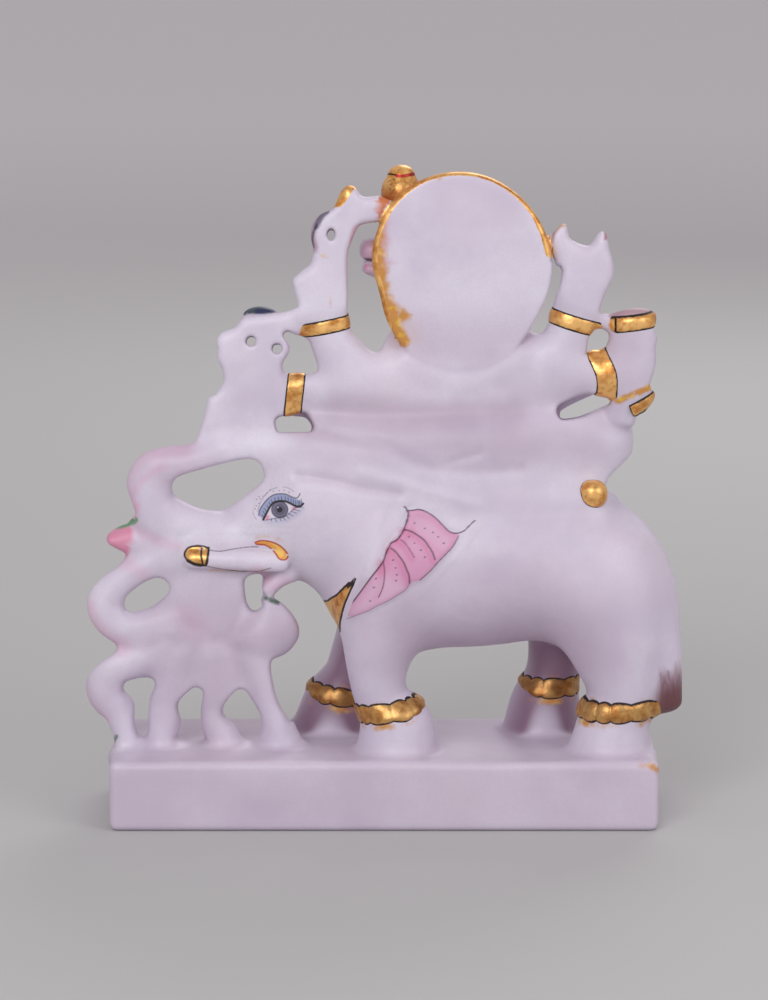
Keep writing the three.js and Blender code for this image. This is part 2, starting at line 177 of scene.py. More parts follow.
def slab(points, near, far, edge):
    """A plate in the X-Z plane with well rounded edges."""
    path = spline(points, 5, closed=True)
    middle, half = (near + far) / 2, (far - near) / 2

    def distance(x, y, z):
        return rounded(edge, area_distance(path, x, z), np.abs(y - middle) - half)

    (x0, z0), (x1, z1) = path.min(0), path.max(0)
    return distance, (x0, near, z0), (x1, far, z1)


def opening(points, plane, near, far):
    """A space that goes through along the line of sight, so it falls a little towards the front."""
    path = spline(points, 3, closed=True)
    pitch = STEP / 3

    def distance(x, y, z):
        level = (z + FALL * (y - plane))[0]
        fine = np.arange(level.min() - 1, level.max() + 2, pitch)
        flat = area_distance(path, x[:, 0], fine[None]).astype(np.float32)
        at = (level - fine[0]) / pitch
        whole = at.astype(int)
        part = (at - whole).astype(np.float32)
        return flat[:, whole] * (1 - part) + flat[:, whole + 1] * part

    (x0, z0), (x1, z1) = path.min(0), path.max(0)
    rise = FALL * max(abs(near - plane), abs(far - plane))
    return distance, (x0, near, z0 - rise), (x1, far, z1 + rise)


HALO_X, HALO_Z, HALO_BACK, HALO_THICK = 36.5, 262.0, -20.0, 9.0
HALO_RADII = [41.0, 40.3, 40.1, 40.5, 41.5, 42.2, 42.8, 42.6, 42.4, 41.9, 41.0, 44.7, 48.0, 49.2, 48.8, 46.6,
              42.6, 41.3]  # every 20 degrees from the right-hand side over the top


def halo_section(x, z):
    """Signed distance in the X-Z plane to the halo's outline, and the angle about its middle."""
    radii = spline([[radius] for radius in HALO_RADII], 4, closed=True)[:, 0]
    u, w = x - HALO_X, z - HALO_Z
    angle = np.degrees(np.arctan2(w, u)) % 360
    edge = np.interp(angle, np.arange(len(radii) + 1) * 360 / len(radii), np.append(radii, radii[0]))
    return np.hypot(u, w) - edge, angle


def halo_shape():
    """The halo: a long disc with soft edges and a gently domed back."""
    front = HALO_BACK + HALO_THICK

    def distance(x, y, z):
        flat, _ = halo_section(x, z)
        dome = 2.4 * np.clip(-flat / 36, 0, 1) ** 0.8
        return rounded(1.6, flat, np.maximum(HALO_BACK - dome - y, y - front))

    reach = max(HALO_RADII)
    return (distance, (HALO_X - reach, HALO_BACK - 3, HALO_Z - reach),
            (HALO_X + reach, front, HALO_Z + reach))


def plinth_shape():
    """The plinth, a block with softly rounded edges."""
    wide, deep, high = PLINTH_HALF

    def distance(x, y, z):
        return rounded(3.6, np.abs(x) - wide, np.abs(y) - deep, np.abs(z - high) - high)

    return distance, (-wide, -deep, 0), (wide, deep, PLINTH_TOP)


def softened(values, reach):
    """A grid evened out by a bell-shaped mean a few millimetres wide."""
    half = math.ceil(2.5 * reach / STEP)
    weights = np.exp(-0.5 * (np.arange(-half, half + 1) * STEP / reach) ** 2)
    weights = (weights / weights.sum()).astype(np.float32)
    for axis in range(3):
        room = [(half, half) if i == axis else (0, 0) for i in range(3)]
        padded = np.pad(values, room, "edge")
        length = values.shape[axis]
        values = sum(weight * padded.take(range(i, i + length), axis) for i, weight in enumerate(weights))
    return values


class Stone:
    """The carving as a signed distance on a regular grid, in millimetres."""

    def __init__(self):
        self.axes = [np.arange(low, high + STEP, STEP, dtype=np.float32) for low, high in zip(LOW, HIGH)]
        self.values = np.full([len(axis) for axis in self.axes], EMPTY, np.float32)

    def block(self, low, high, margin=0):
        """The part of the grid about a box, and the coordinates of its nodes."""
        cuts = []
        for axis, a, b in zip(self.axes, low, high):
            start = max(0, int(np.searchsorted(axis, a - margin)) - 1)
            cuts.append(slice(start, int(np.searchsorted(axis, b + margin)) + 1))
        x, y, z = (axis[cut] for axis, cut in zip(self.axes, cuts))
        return tuple(cuts), x[:, None, None], y[None, :, None], z[None, None, :]

    def add(self, shape, blend, grow=0.0):
        """Joins a shape on, swollen by grow, with a run of about blend between the two."""
        distance, low, high = shape
        where, x, y, z = self.block(low, high, max(12, blend + 4))
        self.values[where] = smooth_min(self.values[where], distance(x, y, z) - grow, blend)

    def cut(self, shape, blend):
        """Takes a shape away, with edges rounded by about blend."""
        distance, low, high = shape
        where, x, y, z = self.block(low, high, blend + 4)
        self.values[where] = -smooth_min(-self.values[where], distance(x, y, z), blend)

    def swell(self, centre, half, height):
        """Raises or, with a negative height, sinks the surface softly about a point."""
        centre, half = np.array(centre), np.array(half)
        where, *place = self.block(centre - 3 * half, centre + 3 * half)
        away = sum(((p - c) / h) ** 2 for p, c, h in zip(place, centre, half))
        self.values[where] -= height * np.exp(-away)

    def seen(self, low, high, side, plane):
        """The block below an area seen from one side, and its nodes in the coordinates of the sight."""
        first, last = (-OUTSIDE, -2) if side < 0 else (2, OUTSIDE)
        where, x, y, z = self.block((low[0], first, low[1] - 8), (high[0], last, high[1] + 8))
        level = z + FALL * (-side * y - plane)
        return where, x + 0 * level, level

    def trench(self, points, width, depth, side=-1, plane=TRUNK_PLANE):
        """A soft groove, or with a negative depth a ridge, along a line seen from one side."""
        path = spline(points, 6)
        low, high = path.min(0) - 2.5 * width, path.max(0) + 2.5 * width
        where, x, level = self.seen(low, high, side, plane)
        away = line_distance(path, x, level)
        axis = int(high[0] - low[0] <= high[1] - low[1])
        run = (x, level)[axis]
        fade = eased(np.minimum(run - low[axis], high[axis] - run) / (3 * width))
        self.values[where] += depth * np.exp(-((away / width) ** 2)) * fade

    def emboss(self, points, height, edge, side, plane):
        """Raises an area seen from one side, with a soft edge."""
        path = spline(points, 3, closed=True)
        where, x, level = self.seen(path.min(0) - edge, path.max(0) + edge, side, plane)
        self.values[where] -= height * eased(0.5 - area_distance(path, x, level) / edge)

    def settle(self):
        """Works out the slopes, once the carving is done."""
        self.slopes = np.stack(np.gradient(self.values, STEP), -1).astype(np.float32)

    def between(self, field, points):
        """A field of the grid at any points, worked out between the nodes."""
        at = np.clip((points - np.array(LOW)) / STEP, 0, np.array(field.shape[:3]) - 1.001)
        whole = at.astype(int)
        part = at - whole
        total = 0
        for corner in np.ndindex(2, 2, 2):
            share = np.where(corner, part, 1 - part).prod(-1)
            values = field[tuple(np.moveaxis(whole + corner, -1, 0))]
            total = total + values * (share if values.ndim == share.ndim else share[..., None])
        return total

    def sample(self, points):
        return self.between(self.values, points)

    def settle_on(self, points, rounds):
        """Moves points onto the surface, and gives their normals too."""
        for _ in range(rounds):
            slope = self.between(self.slopes, points)
            size = np.maximum((slope**2).sum(-1), 0.05)
            points = points - np.clip(self.sample(points) / size, -0.6, 0.6)[..., None] * slope
        slope = self.between(self.slopes, points)
        return points, slope / np.maximum(np.linalg.norm(slope, axis=-1, keepdims=True), TINY)

    def crossing(self, start, towards, reach, pace, sign=1):
        """How far along each ray the surface is crossed, outwards or with sign -1 inwards, and if it is."""
        found = np.full(start.shape[:-1], float(reach))
        met = np.zeros(found.shape, bool)
        last = sign * self.sample(start)
        for far in np.arange(pace, reach, pace):
            here = sign * self.sample(start + towards * far)
            now = ~met & (here >= 0)
            found[now] = far - pace * np.clip(here / np.maximum(here - last, TINY), 0, 1)[now]
            met |= now
            last = here
        return found, met

    def meet(self, start, towards, reach, pace):
        """Where rays from outside meet the surface, or as deep as most of the others where they miss."""
        found, met = self.crossing(start, towards, reach, pace, -1)
        found = np.where(met, found, np.median(found[met]))
        return self.settle_on(start + towards * found[..., None], 2)


# The masses of the carving: [x, y, z, half-width, half-depth] stations unless they say otherwise

ELEPHANT_RUN = [
    [-84, -9, 130, 15, 13], [-66, -4, 132, 17, 19], [-50, 0, 139, 28, 26], [-30, 0, 140, 31, 29],
    [-8, 0, 131, 33, 34], [16, 0, 118.5, 38, 39], [44, 0, 117.5, 38.5, 41], [70, 0, 118, 36, 41],
    [92, 0, 115.5, 36.5, 40], [104, 0, 110, 31.2, 36], [113, 0, 103.5, 23, 28.5],
]
LEGS = [  # side, [x, z, half-width, half-depth] stations
    (-1, [[4, 124, 18, 9], [0.4, 104, 19.2, 15.5], [-2.3, 85, 17, 17], [-3.2, 69, 13.7, 14],
          [-1.6, 58, 12.4, 12.5], [1.4, 51.5, 13.2, 13.5], [5.8, 45.5, 17.2, 16.5], [6.2, 30, 18.6, 18]]),
    (1, [[0, 122, 17, 9], [-3, 104, 18, 15], [-7.5, 86, 14, 15.5], [-13.2, 69, 12.7, 13.5],
         [-17.2, 58.5, 12.3, 13], [-23.7, 45, 17.3, 16], [-25.5, 30, 21, 18]]),
    (-1, [[98, 126, 21, 9], [101.6, 107, 26.2, 16], [107, 86, 23, 18], [111, 66, 16.5, 16.5],
          [110, 57, 15.5, 15.5], [107, 45, 17, 17], [105.5, 30, 19.5, 18]]),
    (1, [[96, 124, 20, 9], [92, 105, 23, 15], [84, 86, 15.5, 15.5], [81.5, 68, 13, 13],
         [79.5, 58, 13, 13], [77, 46, 17, 17], [76, 30, 20, 18]]),
]
TAIL = [[113.5, -1, 128, 5, 7], [125.6, -6, 111, 6.8, 9.5], [132, -13, 88, 6.4, 8.5],
        [133.8, -18, 56, 5.9, 6.8]]
CHIN_BRIDGE = [[-51, -12, 110.5, 2.8, 6], [-53.4, -12, 106.4, 2.3, 6], [-55.2, -12, 102.4, 2.6, 6]]
TUSK_NEAR = [[-48, -22, 123, 4.8, 4.8], [-70, -24, 124, 4.8, 4.8], [-89, -23, 124.5, 4.8, 4.8]]
TUSK_FAR = [[-48, 20, 123, 4.8, 4.8], [-70, 12, 124, 4.8, 4.8], [-89, 4, 124.5, 4.8, 4.8]]
LAP_RUN = [
    [104, 5, 176.5, 17.4, 18], [88, 4, 174, 23, 24], [64, 2, 171, 27, 28], [32, 1, 171, 27, 29],
    [0, 0, 171, 26, 28], [-24, -3, 173, 22, 24], [-48, -8, 174, 13, 15], [-74, -11, 174, 9, 10],
]
SHOULDER_RUN = [
    [-62, -11, 206, 14, 7], [-50, -10, 201, 10.5, 8], [-38, -10, 200, 10.5, 8.5], [-20, -9, 203, 14, 11],
    [2, -6, 206, 17, 13], [20, -4, 208, 20, 14], [38, -3, 208, 21, 14], [56, -4, 208, 20, 14],
    [74, -6, 208, 16, 12], [90, -9, 209, 12, 10], [104, -10, 209, 10.5, 9], [115, -10, 214, 11, 8],
]
BELLY_RUN = [[37, 4, 184, 32, 24], [37, 3, 204, 28, 17], [37, 2, 222, 35, 13], [37, 2, 236, 30, 12]]
HALO_FOOT = [[11, -10.5, 217, 5, 8], [24, -11, 210.5, 6, 8.4], [37, -11, 208.5, 6.5, 8.6],
             [50, -11, 210.5, 6, 8.4], [62, -10.5, 218, 5, 8]]
WAIST_RUN = [[-14, -4, 190, 10, 13], [36, -1, 189, 12, 19], [84, -4, 190, 8, 12]]
SEAT_RUN = [[-36, -2, 153, 14, 23], [28, 0, 151, 15, 27.5], [96, 0, 152, 10, 24]]
RAISED_ARMS = [
    [[12, -6, 212, 12, 12], [-8, -8, 209, 11.5, 11], [-20, ARM_PLANE, 218, 11.5, 10],
     [-26, ARM_PLANE, 230, 11, 9], [-28, ARM_PLANE, 256, 11.5, 7]],
    [[60, -6, 214, 13, 12], [74, -8, 216, 12, 11], [84, -9, 224, 11, 10], [89, ARM_PLANE, 238, 11, 8],
     [94, ARM_PLANE, 262, 11.5, 7]],
]
DRUM = [[115, -10, 235, 10, 8.5], [115, -10, 220, 12, 9], [115, -10, 204, 11, 8.5], [112, -8, 190, 7, 6]]
SHINS = [
    [[100, 20, 176, 13, 14], [66, 34, 172, 11, 10], [34, 38, 170, 9, 8], [16, 38, 170, 8, 7]],
    [[-34, 16, 174, 13, 14], [-2, 32, 168, 11, 10], [34, 38, 166, 9, 8], [54, 38, 167, 8, 7]],
]
FEET = [(11, 41, 166), (56, 41, 162.5)]
BLESSING_ARM = [
    [66, 4, 212, 10, 10], [76, 16, 196, 8.5, 8.5], [70, 33, 192, 7, 7], [66, 38, 203, 7, 5],
    [66, 38, 211, 6.8, 3.5],
]
RESTING_ARM = [[8, 4, 212, 10, 10], [-2, 16, 196, 8.5, 8.5], [8, 33, 190, 7, 7], [26, 36, 189, 6.5, 6]]
FINGERS = (60.9, 64.3, 67.7, 71.1)
THUMB = [[59.5, 38, 200, 2.3, 2.4], [56.5, 39.5, 209, 1.8, 2]]
NECK = [[38, 0, 228, 18, 15], [36, 0, 248, 17, 16]]
SNOUT = [[18, 4, 263, 13, 13], [2, 3, 265.5, 8, 10], [-7.0, 2, 265.8, 5.6, 8]]
JAW = [[18, 4, 253, 9, 10], [-7.8, 2, 257.6, 3.1, 6.5]]
BOAR_TUSK = [[1, 11, 259, 2.6, 2.6], [-4, 12.5, 262, 2.2, 2.2], [-6, 12.5, 268, 1.2, 1.2]]
BOAR_EAR = [[42, 12, 266, 6, 5], [50, 17, 275, 8, 4], [56, 19, 286, 3, 2]]

# Forms that lie in one plane: [x, z, half-width] stations

LIP = [[-46, 116, 6], [-56, 108, 3.2]]
LOTUS = [[-110, 132, 8], [-120, 131.5, 6.5], [-127, 131.5, 3]]
DRUM_GRIP = [[93, 241, 5.5], [106, 231.5, 4.5]]
TRUNK_MASS = [[-97, 131, 15], [-86, 118, 25], [-85, 100, 22], [-85, 84, 25.5], [-84, 66, 27], [-84, 60, 26]]
CURLING = [
    [[-84, 134, 12], [-103, 141, 12], [-109.5, 152, 11], [-106, 165.5, 10.5], [-92, 168, 9], [-72, 174, 9]],
    [[-96, 126, 11], [-114, 118, 8.7], [-127.5, 108, 9], [-130, 99, 9.2], [-120, 89.5, 9.3], [-98, 90, 11]],
    [[-96, 78, 10], [-114, 75.5, 9], [-127, 70.5, 9.2], [-130.8, 61, 9], [-125.5, 50, 8], [-121.5, 40, 6],
     [-121, 28, 8]],
]
STANDING = [
    [[-100, 78, 11], [-101, 62, 9], [-103, 48, 8], [-104.5, 38, 6.5], [-104, 28, 10]],
    [[-80, 76, 10], [-79.5, 60, 8], [-80, 48, 6.6], [-76, 38, 7.5], [-75, 28, 10]],
    [[-62, 86, 12], [-58, 70, 9], [-54.5, 56, 7], [-50.5, 44, 7], [-48, 28, 11]],
]

# Outlines of hands, openings and the open space on both sides, as seen from the side

HANDS = [
    [[-90, 176], [-84, 190], [-82, 199], [-76, 204], [-75, 210], [-78, 219], [-77, 228], [-70, 231.5],
     [-64, 237], [-50, 238.5], [-37, 241], [-34, 234], [-42, 227], [-44, 219], [-47, 212], [-46, 200],
     [-44, 186], [-46, 170]],
    [[-38, 236], [-41.5, 244], [-42.5, 254], [-35, 260], [-33, 267], [-33.5, 278], [-28, 285], [-22, 290],
     [-18, 297], [-13, 296], [-9, 292.5], [4, 292], [4, 281], [-9, 279.5], [-14, 273], [-16.5, 260],
     [-16.5, 240]],
    [[80, 262], [76.5, 274], [83, 280], [86, 273], [95, 269.5], [101, 276.5], [103.5, 268], [106, 259],
     [102.5, 248], [98, 238], [82, 244]],
]
TRUNK_OPENINGS = [
    [[-63.8, 169.8], [-60.1, 169.3], [-58.1, 167.9], [-56.5, 165.1], [-56, 160.2], [-62, 154.6],
     [-70.2, 148.4], [-75.3, 145.8], [-79.3, 145.5], [-85.5, 146.3], [-91, 148.7], [-95.8, 151.4],
     [-98.1, 154], [-98.6, 157.6], [-97, 160.6], [-94, 162.2], [-84.1, 165.2], [-70, 168.9]],
    [[-106.7, 113.4], [-103.7, 113.1], [-101.4, 111.4], [-100.1, 108.7], [-101, 106], [-104.7, 102.5],
     [-111.3, 98.6], [-116.4, 97], [-119.6, 97.1], [-121.5, 98.8], [-121.5, 102.1], [-119.9, 105.3],
     [-115.9, 108.7], [-111.7, 111.5]],
    [[-112.4, 65.3], [-108.8, 64.7], [-107.5, 62.4], [-109.8, 56.7], [-111, 50], [-111, 42], [-111.3, 38.5],
     [-113.5, 36.6], [-116, 37.6], [-117.3, 42], [-117.6, 47], [-116.6, 52.3], [-117, 55.2], [-118.7, 57],
     [-121.1, 58.1], [-122.5, 59.8], [-122.2, 62], [-120.4, 63.9]],
    [[-88.6, 61], [-86, 60.6], [-84.6, 58.5], [-86, 50], [-86.2, 43], [-85, 39], [-82.5, 36.3], [-82.6, 34],
     [-85.5, 31.8], [-92, 31.2], [-96.5, 33.5], [-98.6, 36.5], [-97.5, 38.3], [-94.8, 40.5], [-94.8, 44.5],
     [-96.3, 48], [-97.1, 50.5], [-97.1, 53], [-95.9, 55], [-92.3, 58]],
    [[-67.7, 59.8], [-65.4, 59.3], [-63.3, 56.9], [-59.2, 49.8], [-57.9, 46], [-58, 40.6], [-59.1, 36.4],
     [-61.8, 34.3], [-64.8, 34.6], [-67.5, 37], [-69.5, 42.4], [-72.9, 45.6], [-75.5, 47.4], [-75.9, 49.9],
     [-74.9, 53.1], [-70.3, 58.6]],
    [[-61.7, 114.8], [-58, 114.5], [-57.2, 111], [-57, 107.5], [-55.6, 105.3], [-55.8, 101.8], [-59, 98.7],
     [-61.8, 98.2], [-64.1, 101.3], [-65.3, 108.7], [-64.9, 112.8]],
    [[-54.3, 104.9], [-50.3, 102.9], [-46.4, 99.9], [-42.9, 95.9], [-40.3, 91.4], [-39.3, 87.9],
     [-39.5, 84.5], [-41.1, 81], [-44, 77.4], [-48.8, 75.4], [-51.9, 74], [-53.2, 71.3], [-52.7, 65.8],
     [-51.3, 58.7], [-49, 52.2], [-46.6, 48.2], [-44, 44.5], [-42, 47], [-37, 60], [-32, 73], [-28.5, 86],
     [-28, 97], [-31.5, 104.5], [-37, 109], [-42.5, 110.3], [-49, 107.4], [-53, 105.6]],
]
HAND_OPENINGS = [
    [[-45, 229.4], [-42.8, 228.8], [-40.6, 226.8], [-38.9, 225.9], [-35.5, 225.6], [-34.2, 223.5],
     [-32, 216.8], [-30.8, 213], [-30.8, 211.2], [-32, 209.9], [-36, 209.3], [-40, 209.6], [-45.2, 209.8],
     [-46.9, 211.5], [-46.9, 214.6], [-44.3, 218.7], [-43.6, 221], [-44, 223], [-46.6, 226.6],
     [-46.8, 228.2]],
    [[-50.6, 185.3], [-50.5, 187.9], [-48.3, 189.4], [-44, 189.6], [-38, 189.5], [-36.2, 188.6],
     [-34.6, 186.6], [-33.8, 184.6], [-34.3, 183], [-37.2, 182.2], [-48, 181.8], [-49.6, 182.3]],
    [[-7, 279.3], [0, 279.5], [6, 270], [6, 250], [6, 236], [3.2, 231], [0.4, 225.7], [-1.3, 220.6],
     [-2.5, 219.8], [-4.4, 219.6], [-7, 220.8], [-10, 224.5], [-14.6, 229.2], [-16.2, 233], [-16.9, 238],
     [-16.7, 245], [-16.9, 262], [-15.8, 268.9], [-12.2, 277.4], [-10.7, 278.6]],
    [[79, 260], [81.6, 259.3], [82.5, 257], [81, 249.6], [78.3, 243], [76.6, 238], [75.8, 233.5],
     [74, 229.2], [72.3, 228.3], [70.3, 228.6], [67.5, 231], [66, 240], [70, 252], [75, 260]],
    [[96.5, 229.8], [99, 230.6], [102.5, 229.8], [104.3, 227.5], [103.8, 224.6], [101.3, 221.2],
     [97.5, 220.4], [94.3, 218.9], [93.3, 218.2], [94.2, 221.5], [94.9, 226]],
    [[82.3, 189.1], [82.4, 191.9], [84.2, 193.5], [91.3, 197.1], [96, 198.9], [101, 199.2], [104.6, 198.2],
     [105, 196], [103.5, 195], [97, 192], [90.5, 189.5], [84, 188.5]],
]
DRILLED = [(-61.5, 224.5, 2.5, 2.5), (-49.5, 221, 2.5, 2.5), (-24.4, 274, 2.0, 2.9)]
BEYOND_LEFT = [
    [6, 293], [-2, 292.9], [-8, 292.2], [-10.5, 292.8], [-13, 296.8], [-14.7, 298], [-16.9, 297.5],
    [-20.2, 294.8], [-21.8, 291], [-23.4, 286.6], [-26, 285.3], [-29.9, 284], [-32.4, 281.2], [-33.8, 277],
    [-33.9, 272], [-32.6, 267.2], [-34, 261], [-36.6, 258.9], [-39.5, 256.3], [-42.3, 253.6],
    [-41.8, 249.5], [-39.6, 242.3], [-40.6, 240.4], [-49, 238], [-56, 236.9], [-63.7, 236.4],
    [-65.8, 235.3], [-68.8, 231.6], [-75, 229.2], [-77.5, 226], [-77.6, 223], [-76.8, 221.2], [-77.5, 217],
    [-75.2, 212.2], [-74.3, 207.2], [-75.6, 204], [-78.2, 200], [-81, 198.8], [-82, 196.5], [-85.2, 184],
    [-87.7, 178.3], [-90, 176.8], [-101.5, 175.6], [-110.1, 173.2], [-114.6, 169.9], [-118.5, 164.4],
    [-119.9, 159.8], [-119.6, 156], [-116.2, 146.5], [-115.8, 143.4], [-118.1, 141.6], [-123.4, 140],
    [-127, 138], [-129.3, 134.5], [-130, 131.5], [-127.3, 128.6], [-122, 125.7], [-120.7, 123.8],
    [-123.9, 119.3], [-130, 115], [-134.6, 110.8], [-137.7, 106.1], [-138.8, 102.5], [-138.3, 95.3],
    [-136, 90.7], [-133.5, 87.4], [-127, 82], [-125.5, 79.8], [-126.8, 77.3], [-133, 72.7], [-137.2, 68.8],
    [-139.2, 65.7], [-140.2, 61.4], [-139.9, 57], [-138, 52.5], [-134.6, 48.8], [-131.2, 46.7],
    [-129.7, 44.6], [-128.7, 40.2], [-126.8, 36.5], [-127.5, 30], [-170, 30], [-170, 340], [6, 340],
]
BEYOND_RIGHT = [
    [68, 274], [77.4, 275.3], [80, 277.2], [81.6, 279.2], [83.6, 279.8], [84.6, 278.4], [85.4, 273.6],
    [87.3, 271.5], [93.3, 269.2], [95.3, 270], [98.8, 275.3], [100.6, 276.2], [102.4, 275.4],
    [103.6, 272.7], [105, 265], [106.4, 257], [105.7, 253.2], [102.8, 247.8], [100.2, 240.8], [99.9, 238.3],
    [102, 237.4], [108, 238.5], [114, 240], [120, 240.2], [124.5, 239], [125.3, 236], [125, 232],
    [127, 227], [127, 225], [125.8, 222], [126.3, 218.3], [126, 213.5], [124, 206.5], [123.2, 203.8],
    [124.7, 200.8], [125.4, 197.6], [125, 194.6], [122.3, 192], [118, 189.8], [117.4, 189.3], [117, 187],
    [117, 182], [116.9, 174.4], [115.3, 170.9], [110, 165.5], [105, 160.4], [104, 157.5], [105.5, 154.2],
    [160, 154.2], [170, 340], [68, 340],
]

# Outlines of the ear, which is raised on the stone and painted

EAR_FRONT = [
    [9.3, 151.5], [10.2, 150.7], [10.9, 149.2], [11.2, 148], [10.6, 144.9], [9.7, 142.4], [9, 140.4],
    [7.7, 138.1], [6, 135.9], [3.3, 134.4], [2.5, 132.8], [1.1, 130.1], [-0.4, 125.8], [-2.9, 122.2],
    [-5.9, 118.4], [-8.2, 115.2], [-10.4, 112.1], [-13, 108.5], [-15.5, 105.3], [-16.1, 103.8],
]
EAR_TOP = [
    [10.4, 149.6], [13, 149.7], [16.1, 150.1], [19.2, 149.2], [22.7, 147.1], [25.8, 144.2], [28.5, 141.3],
    [30.7, 139.5], [33.8, 139], [36.9, 140.1], [39.5, 142.6], [42.3, 145.3],
]
EAR_BACK = [
    [34.4, 137.7], [32.9, 134.6], [31.1, 131.9], [28.1, 128.7], [25, 125.5], [21.9, 121.9], [19.2, 119.3],
    [16.6, 117],
]
EAR_UNDER = [
    [12, 115.7], [10, 112.5], [6, 109.8], [1.6, 107.1], [-2.9, 105], [-7.3, 102.5], [-11.7, 100.8],
    [-14.8, 99.5], [-17.7, 98.3],
]
EAR = EAR_TOP[:9] + EAR_BACK + EAR_UNDER[:8] + [[-17.2, 101]] + EAR_FRONT[:2:-1]
EAR_EDGE = [[12, 152], [8.6, 143], [2.2, 136], [-2, 126.5], [-10, 115.5], [-17.5, 105.5]]

CREASES = [  # outline, width, depth: the near side
    ([[-40, 196], [-13, 191], [10, 190], [36, 191], [68, 192.5], [92, 197]], 6.5, 2.6),
    ([[29, 168], [37, 170.2], [45, 172.5]], 1.5, 0.7),
    ([[-40, 162], [-24, 159.5], [-8, 155.4], [7, 153.4]], 2.4, 1.2),
    ([[-11, 163], [7.5, 158.4], [31, 151.5], [44, 148]], 3.0, -0.9),
    ([[-34, 184], [-15, 179.5], [0, 175.8], [15.5, 167.5], [39, 164.2], [64, 165.5]], 3.2, 1.0),
    ([[-128, 81], [-110, 89], [-94, 92], [-82, 87], [-66, 79], [-50, 75]], 3.2, 0.5),
    ([[-1, 142], [-5, 128], [-9, 115]], 4.0, -0.7),
    ([[-92, 58], [-90, 70], [-86, 84]], 3.6, 0.6),
    ([[-67, 57], [-67, 70], [-71, 84]], 3.6, 0.6),
    ([[-111, 61], [-105, 72], [-97, 81]], 3.2, 0.5),
    ([[-58, 99], [-66, 90], [-80, 84]], 3.0, 0.6),
    ([[-96, 133], [-88, 136], [-80, 137]], 2.5, 0.5),
]
HOLLOWS = [  # centre, half sizes, height
    ((-80, -23, 99), (14, 9, 18), -2.2), ((46, -42, 119), (26, 12, 15), -1.4),
    ((39, -12, 171), (4, 8, 2.6), 0.6), ((-57, -20, 88), (9, 8, 8), 1.0),
    ((98, -40, 100), (14, 12, 16), 0.8), ((2, -38, 92), (11, 12, 14), 0.6),
    ((60, -25, 178), (26, 12, 7), 0.8), ((-16, -25, 172), (16, 12, 6), 0.7),
]
FRONT_CREASES = [
    ([[0, 194], [20, 187], [38, 185], [56, 187], [74, 194]], 3.2, 1.3),
    ([[22, 206], [37, 203.5], [52, 206]], 1.6, 0.8),
    ([[-34, 182], [-8, 176], [10, 173]], 2.2, 1.0),
    ([[104, 184], [84, 178], [66, 174]], 2.2, 1.0),
    ([[-40, 162], [-8, 156], [30, 153], [70, 155], [96, 160]], 2.4, 1.0),
    ([[-125, 81.5], [-110, 89], [-94, 92], [-82, 87], [-66, 79]], 2.2, 1.0),
]
PLINTH_RISES = [  # x, y, half-width, half-depth, height
    (0, -21, 24, 22, 1.0), (106, -21, 24, 22, 1.1), (-24, 21, 24, 20, 1.0), (77, 21, 24, 20, 1.0),
    (-85, -12, 42, 20, 1.2), (45, -40, 30, 14, -0.5), (-112, -38, 14, 12, -0.6), (50, 10, 24, 18, -0.6),
]


def carve_body(stone):
    """The elephant and the seated figure, run softly together."""
    stone.add(limb(ELEPHANT_RUN, steps=3), 1)
    stone.add(egg([1, 0, 106], [27, 34, 30]), 14)
    for side, rows in LEGS:
        stone.add(limb([[x, side * LEG_SIDE, z, a, b] for x, z, a, b in rows]), 9)
    for run, blend in ((LAP_RUN, 12), (SEAT_RUN, 14), (WAIST_RUN, 14), (BELLY_RUN, 12), (SHOULDER_RUN, 12)):
        stone.add(limb(run), blend)
    stone.values = softened(stone.values, 2.2)


def carve_trunks(stone):
    stone.add(flat_limb(LIP, TRUNK_PLANE + 1, 8), 4)
    stone.add(flat_limb(TRUNK_MASS, TRUNK_PLANE, TRUNK_DEPTH), 8)
    for rows in CURLING + STANDING:
        stone.add(flat_limb(rows, TRUNK_PLANE, TRUNK_DEPTH - GROW), 4.5, GROW)
    stone.add(egg([-54, TRUNK_PLANE, 90.5], [14.5, TRUNK_DEPTH - GROW, 14.5]), 6, GROW)
    stone.add(flat_limb(LOTUS, TRUNK_PLANE, 7), 3, GROW)


def carve_arms(stone):
    for rows in RAISED_ARMS:
        stone.add(limb(rows), 8, 0.5)
    for points in HANDS:
        stone.add(slab(points, ARM_PLANE - ARM_DEPTH, ARM_PLANE + ARM_DEPTH, 4.5), 5, GROW)
    stone.add(limb(DRUM), 5, GROW)
    stone.add(flat_limb(DRUM_GRIP, ARM_PLANE, 6), 3)
    for rows in SHINS:
        stone.add(limb(rows), 6)


def cut_openings(stone):
    for points in TRUNK_OPENINGS:
        stone.cut(opening(points, TRUNK_PLANE, -45, 30), 2.0)
    for points in HAND_OPENINGS:
        stone.cut(opening(points, ARM_PLANE, -45, 50), 1.8)
    stone.cut(opening(BEYOND_LEFT, TRUNK_PLANE, -45, 50), 2.0)
    stone.cut(opening(BEYOND_RIGHT, ARM_PLANE, -45, 55), 2.0)
    for x, z, a, b in DRILLED:
        stone.cut(opening(ellipse(x, z, a, b), ARM_PLANE, -30, 10), 0.8)


def carve_head(stone):
    """The boar's head and the halo behind it."""
    stone.add(limb(NECK), 6)
    stone.add(egg([30, 4, 260], [25, 19, 20]), 6)
    stone.add(limb(SNOUT), 4)
    stone.add(limb(JAW), 0.8)
    stone.add(limb(BOAR_TUSK), 0.8)
    for side in (-1, 1):
        stone.add(limb([[x, 4 + side * out, z, a, b] for x, out, z, a, b in BOAR_EAR]), 3)
    stone.add(halo_shape(), 1.5)
    stone.add(limb(HALO_FOOT), 6)


